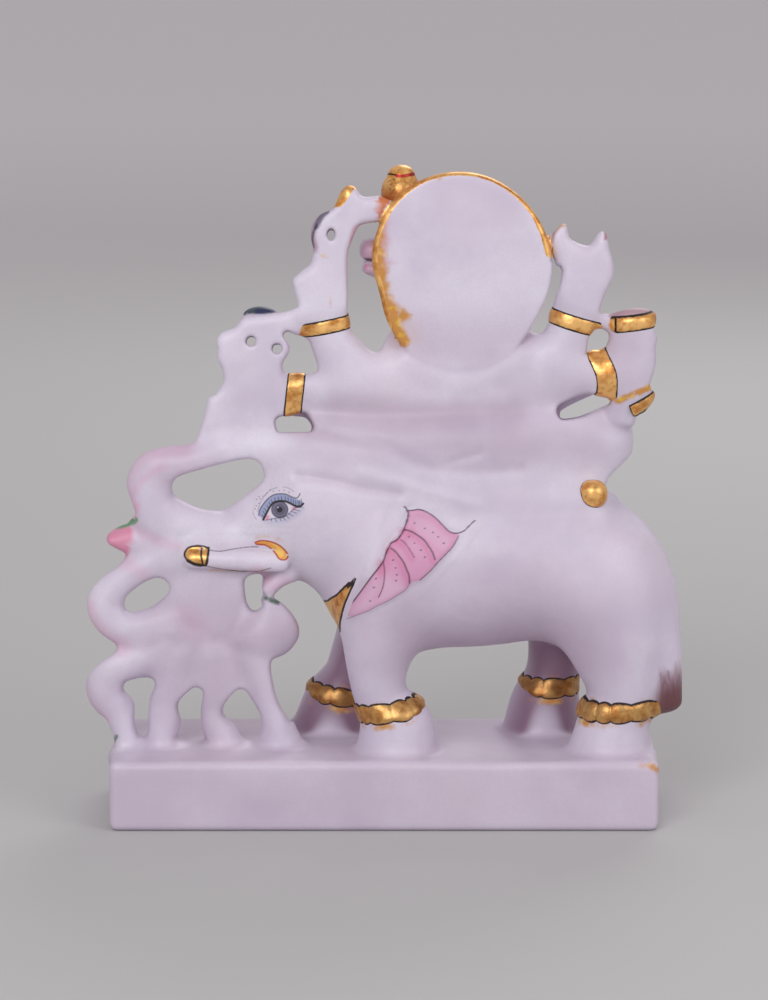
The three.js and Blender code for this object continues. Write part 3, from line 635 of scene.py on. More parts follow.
def carve_front_arms(stone):
    stone.add(limb(BLESSING_ARM, (0.3, 1, 0.2)), 4)
    stone.add(limb(RESTING_ARM, (0, 0.3, 1)), 4)
    for x in FINGERS:
        tip = 220.5 - 0.35 * abs(x - 65.5) ** 1.5
        stone.add(limb([[x, 38, 208, 2.0, 2.2], [x, 38.5, tip, 1.7, 1.8]]), 1.2)
    stone.add(limb(THUMB), 1.5)
    for foot in FEET:
        stone.add(egg(foot, [9, 8, 5]), 3)


def carve_relief(stone):
    """The soft hollows, creases and ridges of the two broad sides."""
    for points, width, depth in CREASES:
        stone.trench(points, width, depth)
    for centre, half, height in HOLLOWS:
        stone.swell(centre, half, height)
    for points, width, depth in FRONT_CREASES:
        stone.trench(points, width, depth, 1)
    for side in (-1, 1):
        stone.emboss(EAR, 1.3, 2.2, side, EAR_PLANE)
        stone.trench(EAR_EDGE, 1.5, 0.35, side, EAR_PLANE)


def carve():
    stone = Stone()
    carve_body(stone)
    carve_trunks(stone)
    carve_arms(stone)
    cut_openings(stone)
    stone.add(limb(TAIL), 15)
    for rows in (CHIN_BRIDGE, TUSK_NEAR, TUSK_FAR):
        stone.add(limb(rows), 1.5)
    carve_head(stone)
    stone.add(egg([-57.3, -7, 236.2], [8.2, 5.5, 4.4]), 0.8)  # what the lower left hand holds
    carve_front_arms(stone)
    carve_relief(stone)
    stone.add(plinth_shape(), 5)
    for x, y, wide, deep, high in PLINTH_RISES:
        stone.swell((x, y, PLINTH_TOP), (wide, deep, 6), high)
    stone.settle()
    return stone


# Meshes


def surface_net(values):
    """Vertices in grid units and quads of the zero surface of a grid of signed distances."""
    inside = values < 0
    corners = list(np.ndindex(2, 2, 2))
    nx, ny, nz = np.subtract(values.shape, 1)
    count = sum(inside[i:i + nx, j:j + ny, k:k + nz].astype(np.int8) for i, j, k in corners)
    mixed = (count > 0) & (count < 8)
    cells = np.argwhere(mixed)
    index = np.full(mixed.shape, -1)
    index[mixed] = np.arange(len(cells))
    total = np.zeros((len(cells), 3))
    weight = np.zeros((len(cells), 1))
    quads = []
    steps = np.eye(3, dtype=int)
    for axis, step in enumerate(steps):
        for first in corners:
            if first[axis]:
                continue
            a = values[tuple((cells + first).T)]
            b = values[tuple((cells + first + step).T)]
            meets = (a < 0) != (b < 0)
            total[meets] += first + np.outer(a[meets] / (a - b)[meets], step)
            weight[meets] += 1
        a = inside.take(range(values.shape[axis] - 1), axis)
        b = inside.take(range(1, values.shape[axis]), axis)
        edges = np.argwhere(a != b)
        p, q = np.delete(steps, axis, 0)
        around = [index[tuple((edges - back).T)] for back in (p + q, q, 0 * p, p)]
        quad = np.stack(around, 1)
        flip = a[tuple(edges.T)] == (axis == 1)
        quad[flip] = quad[flip][:, ::-1]
        quads.append(quad)
    return cells + total / weight, np.vstack(quads)


def make_mesh(name, points, faces):
    """A smooth mesh object from points in millimetres."""
    mesh = bpy.data.meshes.new(name)
    mesh.from_pydata(np.asarray(points) * MM, [], faces, shade_flat=False)
    mesh.validate()
    piece = bpy.data.objects.new(name, mesh)
    bpy.context.scene.collection.objects.link(piece)
    return piece


def mesh_points(piece):
    out = np.empty(len(piece.data.vertices) * 3, np.float32)
    piece.data.vertices.foreach_get("co", out)
    return out.reshape(-1, 3).astype(float) / MM


def set_points(piece, points, normals):
    piece.data.vertices.foreach_set("co", (points * MM).astype(np.float32).ravel())
    piece.data.update()
    piece.data.normals_split_custom_set_from_vertices(normals.astype(np.float32))


def measure(piece, name, values):
    """Stores one number for each vertex, for the material to read."""
    layer = piece.data.attributes.new(name, "FLOAT", "POINT")
    layer.data.foreach_set("value", np.asarray(values, np.float32).ravel())


def thin_out(piece, most):
    """Collapses short edges until the mesh has at most so many triangles."""
    count = len(piece.data.loops) - 2 * len(piece.data.polygons)
    if count > most:
        piece.modifiers.new("thin", "DECIMATE").ratio = most / count
        graph = bpy.context.evaluated_depsgraph_get()
        old, piece.data = piece.data, bpy.data.meshes.new_from_object(piece.evaluated_get(graph))
        bpy.data.meshes.remove(old)
        piece.modifiers.clear()
        piece.data.shade_smooth()


def halves(a, b, c, d):
    """Two triangles for each face with four corners."""
    return np.concatenate([np.stack([a, b, c], -1).reshape(-1, 3), np.stack([a, c, d], -1).reshape(-1, 3)])


def skin(name, rings, closed=False):
    """A mesh over rings of points, of which the last meets the first or both ends are capped."""
    index = np.arange(rings[..., 0].size).reshape(rings.shape[:2])
    points = rings.reshape(-1, 3)
    low, high = (index, np.roll(index, -1, 0)) if closed else (index[:-1], index[1:])
    faces = [halves(low, np.roll(low, -1, 1), np.roll(high, -1, 1), high)]
    if not closed:
        first, last = index[0], index[-1]
        ends = first * 0 + index.size
        faces.append(np.stack([np.roll(first, -1), first, ends], -1))
        faces.append(np.stack([last, np.roll(last, -1), ends + 1], -1))
        points = np.vstack([points, rings[0].mean(0), rings[-1].mean(0)])
    return make_mesh(name, points, np.vstack(faces))


# Materials


class Shader:
    """A material's node tree, with short ways to add to it."""

    def __init__(self, name):
        self.material = bpy.data.materials.new(name)
        self.material.use_nodes = True
        self.material.node_tree.nodes.clear()
        self.principled = self.node("BsdfPrincipled", {})
        self.node("OutputMaterial", {"Surface": self.principled.outputs[0]})
        self.place = self.node("TexCoord", {}).outputs["Object"]

    def put(self, socket, value):
        if hasattr(value, "links"):
            self.material.node_tree.links.new(value, socket)
        else:
            socket.default_value = value

    def node(self, kind, inputs, **values):
        made = self.material.node_tree.nodes.new("ShaderNode" + kind)
        for name, value in values.items():
            setattr(made, name, value)
        for socket, value in inputs.items():
            self.put(made.inputs[socket], value)
        return made

    def set(self, **values):
        for name, value in values.items():
            self.put(self.principled.inputs[name.replace("_", " ")], value)

    def math(self, operation, a, b=0.0, clamp=False):
        return self.node("Math", {0: a, 1: b}, operation=operation, use_clamp=clamp).outputs[0]

    def measured(self, name, kind="Fac"):
        return self.node("Attribute", {}, attribute_name=name).outputs[kind]

    def noise(self, size_mm, detail=3.0, offset=0.0, roughness=0.55):
        """Noise about 0.5 with features of a size in millimetres."""
        shift = {0: self.place, 1: (offset, offset * 0.7, -offset)}
        source = self.node("VectorMath", shift, operation="ADD").outputs[0]
        inputs = {"Vector": source, "Scale": 1000.0 / size_mm, "Detail": detail, "Roughness": roughness}
        return self.node("TexNoise", inputs).outputs["Fac"]

    def ramp(self, value, low, high, to_low=0.0, to_high=1.0):
        inputs = {"Value": value, "From Min": low, "From Max": high, "To Min": to_low, "To Max": to_high}
        return self.node("MapRange", inputs, interpolation_type="SMOOTHSTEP").outputs["Result"]

    def mix(self, share, a, b, blend="MIX"):
        return self.node("Mix", {"Factor": share, 6: a, 7: b}, data_type="RGBA", blend_type=blend).outputs[2]

    def between(self, share, a, b):
        return self.node("Mix", {0: share, 2: a, 3: b}, data_type="FLOAT").outputs[0]

    def wobble(self, name, size_mm, amount, offset=0.0):
        """A measure with noise about nought added, which makes painted edges uneven."""
        noise = self.math("SUBTRACT", self.noise(size_mm, 3, offset), 0.5)
        return self.math("ADD", self.measured(name), self.math("MULTIPLY", noise, amount))

    def bump(self, height, distance_mm):
        self.set(Normal=self.node("Bump", {"Height": height, "Distance": distance_mm * MM}).outputs[0])


MARBLE_LIGHT = (0.78, 0.72, 0.83, 1)
MARBLE_DEEP = (0.64, 0.565, 0.69, 1)
MARBLE_WARM = (0.76, 0.65, 0.75, 1)
GOLD_LIGHT = (1.0, 0.58, 0.20, 1)
GOLD_DEEP = (0.66, 0.27, 0.06, 1)
GOLD_BROWN = (0.34, 0.12, 0.04, 1)
INK = (0.018, 0.010, 0.008, 1)
OCHRE = (0.62, 0.28, 0.06, 1)
YELLOW = (0.80, 0.50, 0.06, 1)


def marble_colour(shader):
    """Cool lilac-white stone with soft clouds and a fine grain."""
    cloud = shader.ramp(shader.noise(42, 4), 0.32, 0.70)
    warm = shader.ramp(shader.noise(65, 2, 3.1), 0.45, 0.75, 0.0, 0.6)
    grain = shader.ramp(shader.noise(1.1, 2), 0.35, 0.68, 0.0, 0.22)
    colour = shader.mix(cloud, MARBLE_DEEP, MARBLE_LIGHT)
    colour = shader.mix(warm, colour, MARBLE_WARM)
    return shader.mix(grain, colour, MARBLE_DEEP)


def gold_colour(shader):
    """Gold leaf with brown worn mottling."""
    worn = shader.ramp(shader.noise(5.5, 4, 0, 0.6), 0.40, 0.66)
    deep = shader.ramp(shader.noise(2.6, 4, 5.3, 0.6), 0.54, 0.80, 0.0, 0.6)
    colour = shader.mix(worn, GOLD_LIGHT, GOLD_DEEP)
    return shader.mix(deep, colour, GOLD_BROWN)


def painted_marble():
    """Stone that carries tints, leaf, stains and ink wherever a piece's measures say so."""
    shader = Shader("painted_marble")
    colour = shader.mix(shader.measured("cover"), marble_colour(shader), (0, 0, 0, 1))
    colour = shader.mix(1.0, colour, shader.measured("tint", "Color"), "ADD")
    hue = shader.mix(shader.ramp(shader.noise(5, 2, 7.7), 0.5, 0.7), OCHRE, YELLOW)
    stain = shader.ramp(shader.wobble("stain", 4.0, 1.0, 2.2), 0.2, 1.0)
    stain = shader.math("MULTIPLY", stain, shader.ramp(shader.measured("stain"), 0.05, 0.4))
    colour = shader.mix(stain, colour, hue)
    gold = shader.ramp(shader.wobble("leaf", 2.4, 0.9), -0.14, 0.14)
    colour = shader.mix(gold, colour, gold_colour(shader))
    edge = shader.ramp(shader.math("ABSOLUTE", shader.wobble("leaf", 3.1, 0.7, 4.1)), 0.35, 0.6, 1.0, 0.0)
    edge = shader.math("MULTIPLY", edge, shader.measured("trim"))
    ink = shader.math("MAXIMUM", edge, shader.measured("ink"))
    bright = shader.math("MULTIPLY", gold, shader.math("SUBTRACT", 1.0, ink, True))
    shader.set(Base_Color=shader.mix(ink, colour, INK), Metallic=shader.math("MULTIPLY", bright, 0.75),
               Roughness=shader.between(bright, 0.43, 0.38), Subsurface_Weight=0.15, Subsurface_Scale=0.004,
               Subsurface_Radius=(1.0, 0.8, 0.9))
    shader.bump(shader.noise(2.6, 4), 0.06)
    return shader.material


def gold_material():
    """Gold leaf whose edges are inked where the measure named rim is small."""
    shader = Shader("gold_leaf")
    ink = shader.ramp(shader.wobble("rim", 2.6, 1.3), 1.0, 1.4, 1.0, 0.0)
    colour = shader.mix(shader.measured("cover"), gold_colour(shader), shader.measured("tint", "Color"))
    shader.set(Base_Color=shader.mix(ink, colour, INK), Metallic=shader.math("SUBTRACT", 0.68, ink, True),
               Roughness=shader.between(ink, 0.36, 0.6))
    shader.bump(shader.noise(2.2, 4), 0.18)
    return shader.material


# Pieces that lie on the stone


def dress(piece, material):
    """Gives a piece its body and its material."""
    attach(piece, "root")
    piece.data.materials.append(material)
    return piece


def band_axes(tilt):
    """Across, through and along directions of a band tilted in the X-Z plane."""
    cos, sin = math.cos(tilt), math.sin(tilt)
    return np.array([cos, 0, sin]), np.array([0, 1.0, 0]), np.array([-sin, 0, cos])


def band(name, centre, half, tilt, proud, most, lobes=0, phase=0.0, bow=0.0, end=-99.0):
    """A closed gold band around a leg or an arm, with inked edges. It may bow, and may dive in at one end."""
    count, rows, core = 220, 26, 2.0
    across, through, upward = band_axes(tilt)
    turn = np.arange(count) / count * 2 * math.pi
    share = np.sin(np.linspace(-1, 1, rows) * math.pi / 2)[:, None]
    petal = np.abs(np.sin((turn + phase + 0.16 * np.sin(3 * turn + 5 * phase)) * lobes / 2)) ** 0.6
    edge = half * (1 + (0.24 * petal - 0.14) * (lobes > 0))
    heights = share * edge - bow * np.sin(turn) ** 2
    out = np.outer(np.cos(turn), across) + np.outer(np.sin(turn), through)
    middle = np.array(centre) + heights[..., None] * upward
    radius = core + stone.crossing(middle + core * out, out, most - core, 0.3)[0]
    for _ in range(3):
        radius = (np.roll(radius, 1, 1) + 2 * radius + np.roll(radius, -1, 1)) / 4
    crown = np.clip(1 - np.abs(share) ** 3.2, 0, 1)
    lift = proud * crown * (1 + 0.28 * (petal - 0.5)) - 0.35 * (1 - crown)
    from_end = np.cos(turn) * radius - end
    shown = eased(from_end / 0.8 + 0.5)
    outer = middle + out * (radius + lift * shown - 1.2 * (1 - shown))[..., None]
    inner = middle + out * (radius - 2.2)[..., None]
    piece = skin(name, np.concatenate([outer, inner[::-1]]), True)
    rim = np.minimum((1 - np.abs(share)) * edge, np.maximum(from_end, 0) + 0.3)
    measure(piece, "rim", np.concatenate([rim, 0 * rim]))
    return dress(piece, gold)


def lathe(name, profile, centre, lines=(99,), count=96, shape=None):
    """A closed gold body turned about an upright axis, with ink lines round it at some heights."""
    rows = spline(profile, 8)
    radius, height = np.maximum(rows[:, :1], 0), rows[:, 1:]
    turn = np.arange(count) / count * 2 * math.pi
    if shape:
        radius = radius * shape(turn, height)
    spots = np.stack([radius * np.cos(turn), radius * np.sin(turn), height + 0 * turn], -1)
    piece = skin(name, spots + np.array(centre))
    high = mesh_points(piece)[:, 2] - centre[2]
    measure(piece, "rim", np.min([np.abs(high - line) for line in lines], 0) + 0.75)
    return dress(piece, gold)


def strand(name, points, half):
    """A raised gold line that lies on the front of the figure, from [x, z] points seen square on."""
    path = spline(points, 8)
    start = np.stack([path[:, 0], np.full(len(path), OUTSIDE), path[:, 1]], -1)
    spots, normals = stone.meet(start, np.array([0.0, -1.0, 0.0]), 110, 0.4)
    across = np.cross(normals, np.gradient(spots, axis=0))
    across /= np.linalg.norm(across, axis=1, keepdims=True)
    turn = (np.arange(14) / 14 * 2 * math.pi)[:, None]
    full = half * np.minimum(1, 0.25 + 5 * np.sin(np.linspace(0, math.pi, len(path))))[:, None, None]
    rings = across[:, None] * np.cos(turn) + 0.9 * normals[:, None] * np.sin(turn)
    piece = skin(name, spots[:, None] + full * rings)
    measure(piece, "rim", np.full(len(piece.data.vertices), 9.0))
    return dress(piece, gold)


PATCH_LIFT, PATCH_SINK = 0.08, 0.3  # how far a sheet lies over the stone, and its rim under it
PATCH_CORE = 11.0  # how deep in the stone its back runs to a point


def patch(name, corners, plane, side, pitch, brush):
    """A thin closed sheet that lies on the stone and carries fine paint, between four corners."""
    corners = np.array(corners, float)
    steps = [np.linspace(0, 1, int(np.linalg.norm(corners[i] - corners[0]) / pitch)) for i in (1, 3)]
    s, t = (share[..., None] for share in np.meshgrid(*steps, indexing="ij"))
    low = corners[0] * (1 - s) + corners[1] * s
    high = corners[3] * (1 - s) + corners[2] * s
    u, w = np.moveaxis(low * (1 - t) + high * t, -1, 0)
    start = np.stack([u, 0 * u + side * OUTSIDE, w + FALL * (OUTSIDE + plane)], -1)
    points, normals = stone.meet(start, np.array([0.0, -side, -FALL]), 90, 0.5)
    rim = np.maximum(np.abs(s - 0.5), np.abs(t - 0.5)) > 0.4999
    points = (points + normals * np.where(rim, -PATCH_SINK, PATCH_LIFT)).reshape(-1, 3)
    index = np.arange(u.size).reshape(u.shape)
    faces = halves(index[:-1, :-1], index[1:, :-1], index[1:, 1:], index[:-1, 1:])
    loop = np.concatenate([index[:-1, 0], index[-1, :-1], index[:0:-1, -1], index[0, :0:-1]])
    fan = np.stack([np.roll(loop, -1), loop, 0 * loop + u.size], -1)
    points = np.vstack([points, points[loop].mean(0) - [0, side * PATCH_CORE, 0]])
    normals = np.vstack([normals.reshape(-1, 3), [0, -side, 0]])
    piece = make_mesh(name, points, np.vstack([faces, fan])[:, ::-side])
    set_points(piece, points, normals)
    paint = paint_idol(points, normals)
    brush(paint)
    paint.keep(piece)
    return dress(piece, painted)


# Paint


def looks(red, green, blue):
    """A colour given as it looks, up to 255, as the linear values that the materials take."""
    share = np.array([red, green, blue]) / 255.0
    return np.where(share <= 0.04045, share / 12.92, ((share + 0.055) / 1.055) ** 2.4)


BLACK = looks(24, 14, 14)
NAVY = looks(38, 36, 70)
PINK = looks(228, 128, 172)
ROSE = looks(222, 96, 138)
EAR_LINE = looks(60, 26, 32)
EAR_PINK = looks(216, 148, 186)
EAR_DEEP = looks(208, 110, 156)
WHITE = looks(226, 218, 232)
SHADOW = looks(134, 148, 192)
IRIS = looks(122, 116, 142)
IRIS_DARK = looks(52, 46, 68)
CRESCENT_RED = looks(178, 48, 26)
CRESCENT_GOLD = looks(248, 200, 108)
CRESCENT_ORANGE = looks(232, 132, 52)
GREEN = looks(104, 158, 112)
GREEN_DARK = looks(44, 92, 66)
TEAL = looks(34, 58, 66)
MAUVE = looks(142, 100, 112)
MAUVE_GREY = looks(176, 140, 160)
HAIR_BROWN = looks(98, 50, 54)
SHADE = looks(166, 136, 158)
# colour of the painted shade on the inner sides of the far legs
DEEP_SHADE = looks(122, 82, 106)
GROUND_BROWN = looks(118, 66, 30)
LIP_RED = looks(176, 44, 52)
DEEP_BLUE = looks(30, 34, 84)
DRUM_SKIN = looks(172, 128, 132)
EYE_BROWN = looks(120, 70, 40)
# colour of the painted highlight on the ridges
LIGHT = looks(232, 224, 242)
LOTUS_LIGHT = looks(228, 168, 180)
MUZZLE_PINK = looks(212, 160, 188)
NAIL_RED = looks(170, 84, 92)
OLD_ROSE = looks(140, 96, 80)
OLIVE = looks(120, 110, 80)
OLIVE_LIGHT = looks(150, 138, 62)
TEAL_HIGHLIGHT = looks(104, 128, 126)
PEACH = looks(228, 178, 150)
SHRINE_BROWN = looks(176, 76, 34)
SHRINE_FRONT = looks(196, 92, 40)
SHRINE_ORANGE = looks(206, 112, 50)
SHRINE_RED = looks(170, 28, 40)
TAN = looks(214, 178, 150)


class Paint:
    """What is painted at each of a set of points, laid on in order from the stone outwards."""

    def __init__(self, u, depth, z):
        self.u, self.depth, self.z = u, depth, z
        self.tint = np.zeros(u.shape + (3,))
        self.cover, self.stain, self.trim, self.ink = (np.zeros(u.shape) for _ in range(4))
        self.leaf = np.full(u.shape, -9.0)

    def look(self, plane, where=True):
        """Sets the plane that outlines are given on, as they are seen along the line of sight."""
        self.w = self.z + FALL * (self.depth - plane)
        self.where = where

    def near(self, path, reach):
        (x0, z0), (x1, z1) = path.min(0) - reach, path.max(0) + reach
        return self.where & (self.u > x0) & (self.u < x1) & (self.w > z0) & (self.w < z1)

    def lay(self, colour, share, at=slice(None)):
        """Lays colour on by a share of each spot."""
        self.tint[at] = self.tint[at] * (1 - share)[:, None] + colour * share[:, None]
        self.cover[at] = self.cover[at] * (1 - share) + share

    def stroke(self, points, width, soft):
        """The spots about a line, and how much a brush of some width covers each."""
        path = spline(points, 6)
        at = self.near(path, width + soft)
        away = line_distance(path, self.u[at], self.w[at])
        return at, eased((width / 2 + soft / 2 - away) / soft)

    def line(self, points, width, colour, strength, soft=0.3):
        at, share = self.stroke(points, width, soft)
        self.lay(colour, strength * share, at)

    def lines(self, marks):
        for points, width, colour, strength, soft in marks:
            self.line(points, width, colour, strength, soft)

    def pen(self, points, width, soft=0.3):
        """A black line over everything else, gold too."""
        at, share = self.stroke(points, width, soft)
        self.ink[at] = np.maximum(self.ink[at], share)

    def dot(self, x, z, radius, colour, strength, soft):
        self.line([[x, z]] * 2, 2 * radius, colour, strength, soft)

    def area(self, points, colour, strength, soft=0.4):
        path = spline(points, 3, True)
        at = self.near(path, soft)
        self.lay(colour, strength * eased(0.5 - area_distance(path, self.u[at], self.w[at]) / soft), at)

    def gild(self, points, trimmed=False):
        path = spline(points, 3, True)
        at = self.near(path, 4)
        self.leaf[at] = np.maximum(self.leaf[at], -area_distance(path, self.u[at], self.w[at]))
        self.trim[at] = float(trimmed)

    def smear(self, marks):
        """Thin uneven overspill of the gold's ochre ground along lines: outline, width, amount."""
        for points, width, amount in marks:
            path = spline(points, 6)
            at = self.near(path, 2 * width)
            away = line_distance(path, self.u[at], self.w[at])
            self.stain[at] = np.maximum(self.stain[at], amount * np.exp(-((away / width) ** 2)))

    def keep(self, piece):
        rgba = np.concatenate([self.tint, np.ones((len(self.tint), 1))], 1)
        layer = piece.data.attributes.new("tint", "FLOAT_COLOR", "POINT")
        layer.data.foreach_set("color", rgba.astype(np.float32).ravel())
        for name in ("cover", "stain", "leaf", "trim", "ink"):
            measure(piece, name, getattr(self, name))


# Outlines of the fine paint, as seen from the side, each on its own plane

EYE_CORNERS = [[-62.5, 140], [-36, 140], [-36, 162.5], [-59.5, 156.5]]
TUSK_CORNERS = [[-96.5, 119], [-41, 118.8], [-41, 137.5], [-96.5, 137.5]]
EAR_CORNERS = [[-18.6, 96.3], [16, 106], [48, 144], [3, 155]]
FACE_CORNERS = [[-5.5, 253], [26, 248], [26, 277], [-5.5, 272]]
EYE_LID = [
    [-56, 143.5], [-55.2, 145.1], [-54, 147.4], [-52.5, 150.1], [-50.9, 151.7], [-48.2, 152.3],
    [-45.6, 152.1], [-43.6, 151.3], [-41.7, 150.3], [-39.8, 149.7], [-38.3, 150.1], [-37.3, 151.1],
]
EYE_WHITE = [
    [-55.8, 143.5], [-54.2, 146.6], [-52.1, 149.7], [-49.8, 151.3], [-46.7, 151.6], [-44.4, 150.8],
    [-42.1, 149.8], [-40.9, 149.5], [-42.1, 148.6], [-43.7, 146.9], [-45.2, 145.6], [-47.5, 144.6],
    [-49.4, 144.6], [-51.4, 144.4], [-53.3, 143.8], [-54.8, 143.2],
]
EYE_CREASE = [
    [-58.1, 145.6], [-57.6, 148.2], [-55.9, 150.9], [-54, 153.2], [-51.3, 155.1], [-48.2, 155.7],
    [-45.2, 155.4], [-42.9, 154.3], [-41.1, 153.7], [-39.7, 154.2], [-38.8, 155.8],
]
EYE_SHADOW = EYE_CREASE[:8] + [[-41, 153.6], [-38.7, 152.5]] + EYE_LID[::-1] + [[-57.1, 144.7]]
EYE_SHADE = [[-57, 143], [-52, 141], [-45, 142.3], [-39.5, 145.5], [-37, 149], [-45, 147], [-52, 144]]
EYE_UNDER = [[-55.6, 143.3], [-52.9, 143.6], [-50.4, 144.2], [-47.5, 144.4], [-45, 145.5], [-42.7, 147.8],
             [-40.9, 149.4]]
EYE_MIDDLE = np.array([-48.3, 148.3])
EYE_RINGS = [(4.0, IRIS_DARK), (3.5, IRIS), (2.3, IRIS_DARK), (2.0, IRIS), (1.45, BLACK)]
EYE_BROWS = [
    [[-46.7, 158.8], [-44.4, 158.5], [-42.5, 157.4], [-41.7, 156.7]],
    [[-59.1, 143.5], [-60.3, 145.2], [-60.9, 147.8], [-60.6, 150.5]],
    [[-58.6, 147.4], [-58, 149.7], [-57.1, 152.1], [-55.7, 154.2], [-54, 156.2], [-52.1, 157.7],
     [-49.8, 158.7]],
]
EYE_DOTS = [
    [-59, 153.1], [-58, 154.4], [-56.2, 154.6], [-54.4, 156.2], [-52.8, 157.5], [-50.9, 159.2],
    [-47.8, 159.6], [-48.5, 157.2], [-46.3, 157.3], [-43.9, 156.4], [-58, 151.3], [-57.3, 153.4],
    [-55.1, 155.2], [-59.8, 148.6], [-59.2, 150.1], [-53.2, 158.6], [-49.8, 158.5], [-51.3, 156.9],
]
LOWER_LASHES = [
    [[-44.4, 146.5], [-42.1, 145.3]],
    [[-42.8, 147.5], [-40.5, 146.5]],
    [[-41.9, 148.4], [-39, 147.7]],
    [[-41, 149.2], [-37.3, 149.3]],
    [[-45.2, 145.4], [-44, 144.2]],
    [[-46.8, 144.6], [-45.7, 143.3]],
    [[-48.3, 144.3], [-47.6, 143]],
    [[-50.4, 144], [-49.8, 142.6]],
    [[-52.1, 144.1], [-52.2, 142.9]],
]
CRESCENT = [
    [-59.8, 133.1], [-57.5, 133.9], [-54.4, 133.8], [-51.4, 133.1], [-48.7, 131.8], [-46.4, 129.9],
    [-44.9, 127.8], [-44.6, 126.4], [-45.8, 125.1], [-47.5, 125], [-48.8, 125.7], [-49.8, 127.1],
    [-51, 128.8], [-52.9, 130.7], [-55.2, 131.9], [-57.9, 132.2], [-59.2, 132.3],
]
TUSK_TIP = [
    [-91.1, 124.7], [-92.5, 126.7], [-92.2, 129], [-90.3, 130.8], [-86.6, 131.5], [-82.9, 131],
    [-81.4, 129.8], [-81.6, 127.3], [-82.3, 122.8], [-85.3, 122.4], [-88.2, 123.1],
]
TUSK_BAND = [[-84.5, 130.8], [-84.8, 127.3], [-83.9, 122.5]]
TUSK_COLLAR = [[-81.4, 130.6], [-81.6, 127.3], [-82.6, 122.3]]
TUSK_TOP = [[-81.4, 129.6], [-76, 129], [-69, 130.2], [-62.1, 131], [-58.4, 131]]
TUSK_UNDER = [[-82.3, 122], [-76, 120.7], [-66.8, 119.5], [-59.8, 119.2], [-52.6, 121.1]]
EAR_VEINS = [  # outline, width
    ([[9.5, 140.6], [12.6, 139.8], [15.7, 137.9], [18.3, 135.9], [20.6, 132.9], [22.4, 129.9],
      [23.5, 126.7]], 0.5),
    ([[3.3, 131.9], [5.5, 130.2], [7.3, 127.8], [9.1, 125.2], [10.4, 122], [11.5, 119.3],
      [11.8, 115.7]], 0.5),
    ([[7.7, 135.9], [9.5, 134.6], [10.9, 132.7], [12.6, 130.1], [14, 127.6]], 0.3),
    ([[-0.4, 125.6], [0.2, 122], [0.2, 118.9], [-0.2, 115.2], [-1.1, 112.1], [-2.5, 109]], 0.35),
]
EAR_DOTS = [
    [14.1, 143.7], [18.8, 141.2], [22.6, 139.4], [25, 137.3], [27.6, 134.3], [11.5, 137.3], [14.1, 134.4],
    [17, 131.1], [18.8, 127.8], [4.2, 126.4], [5.4, 122.8], [5.9, 119.5], [5.5, 116.8], [-3.7, 117.7],
    [-4.6, 113.5], [-6.4, 107.2],
]
EAR_TIP_LIGHT = [[-17, 99], [3, 107.5], [10, 114], [-1, 119], [-9, 111]]
EAR_TOP_LIGHT = [[14, 146], [19, 145.5], [25, 140.5], [30, 135.5], [27, 131], [21, 136], [15, 140.5]]


def paint_eye(paint):
    paint.look(EYE_PLANE)
    paint.area(EYE_SHADE, SHADOW, 0.28, 3.0)
    paint.area(EYE_SHADOW, SHADOW, 0.8, 1.0)
    paint.area(EYE_WHITE, WHITE, 0.95)
    paint.dot(-54.2, 144.5, 1.2, ROSE, 0.6, 1.2)
    paint.dot(-41.7, 149.0, 1.1, ROSE, 0.45, 1.4)
    for radius, colour in EYE_RINGS:
        paint.dot(*EYE_MIDDLE, radius, colour, 0.95, 0.35)
    for turn in np.arange(0, 2 * math.pi, math.pi / 9):
        ray = np.array([math.cos(turn), math.sin(turn)])
        paint.line([EYE_MIDDLE + ray * 1.8, EYE_MIDDLE + ray * 3.5], 0.22, IRIS_DARK, 0.45, 0.25)
    # a small white dot on the pupil: a painted glint
    paint.dot(-49.1, 149.3, 0.35, WHITE, 0.8, 0.3)
    # Lashes between lid and crease
    lid, crease = spline(EYE_LID, 8), spline(EYE_CREASE, 8)
    for at in np.linspace(0.06, 0.94, 17):
        low, high = lid[int(at * (len(lid) - 1))], crease[int(at * (len(crease) - 1))]
        paint.line([low, low + 0.62 * (high - low) + [0.5, 0]], 0.42, NAVY, 0.75)
    paint.line(EYE_LID, 0.95, BLACK, 1.0)
    paint.line(EYE_UNDER, 0.4, NAVY, 0.7)
    paint.line(EYE_CREASE, 0.5, BLACK, 0.85)
    for points in LOWER_LASHES:
        paint.line(points, 0.35, NAVY, 0.8)
    for points in EYE_BROWS:
        paint.line(points, 0.28, NAVY, 0.55)
    for x, z in EYE_DOTS:
        paint.dot(x, z, 0.28, NAVY, 0.75, 0.25)


def paint_tusk(paint):
    paint.look(TUSK_PLANE)
    paint.smear([([[-80, 119], [-70, 117.5], [-60, 117.2], [-54, 119]], 2.4, 0.42),
                 ([[-60, 135.5], [-53, 136], [-47, 133]], 2.2, 0.42)])
    paint.line([[-80, 119.5], [-66, 117.8], [-56, 118.2]], 4.0, PEACH, 0.35, 3.0)
    paint.area(CRESCENT, CRESCENT_GOLD, 1.0)
    paint.line([[-58.5, 132.8], [-54, 132.6], [-50.5, 130.5]], 1.0, CRESCENT_ORANGE, 0.7, 0.8)
    paint.line([[-46, 128], [-46.2, 126.3], [-47.5, 125.8]], 0.8, CRESCENT_ORANGE, 0.6, 0.6)
    paint.line(CRESCENT + CRESCENT[:1], 0.75, CRESCENT_RED, 0.95)
    paint.line(TUSK_TOP, 0.42, BLACK, 0.75)
    paint.line(TUSK_UNDER, 0.42, BLACK, 0.75)
    paint.gild(TUSK_TIP)
    for points, width in ((TUSK_TIP + TUSK_TIP[:1], 0.95), (TUSK_BAND, 0.95), (TUSK_COLLAR, 1.1)):
        paint.pen(points, width)
    paint.pen([[-91, 124.6], [-88, 123], [-85, 122.4]], 1.6, 0.4)


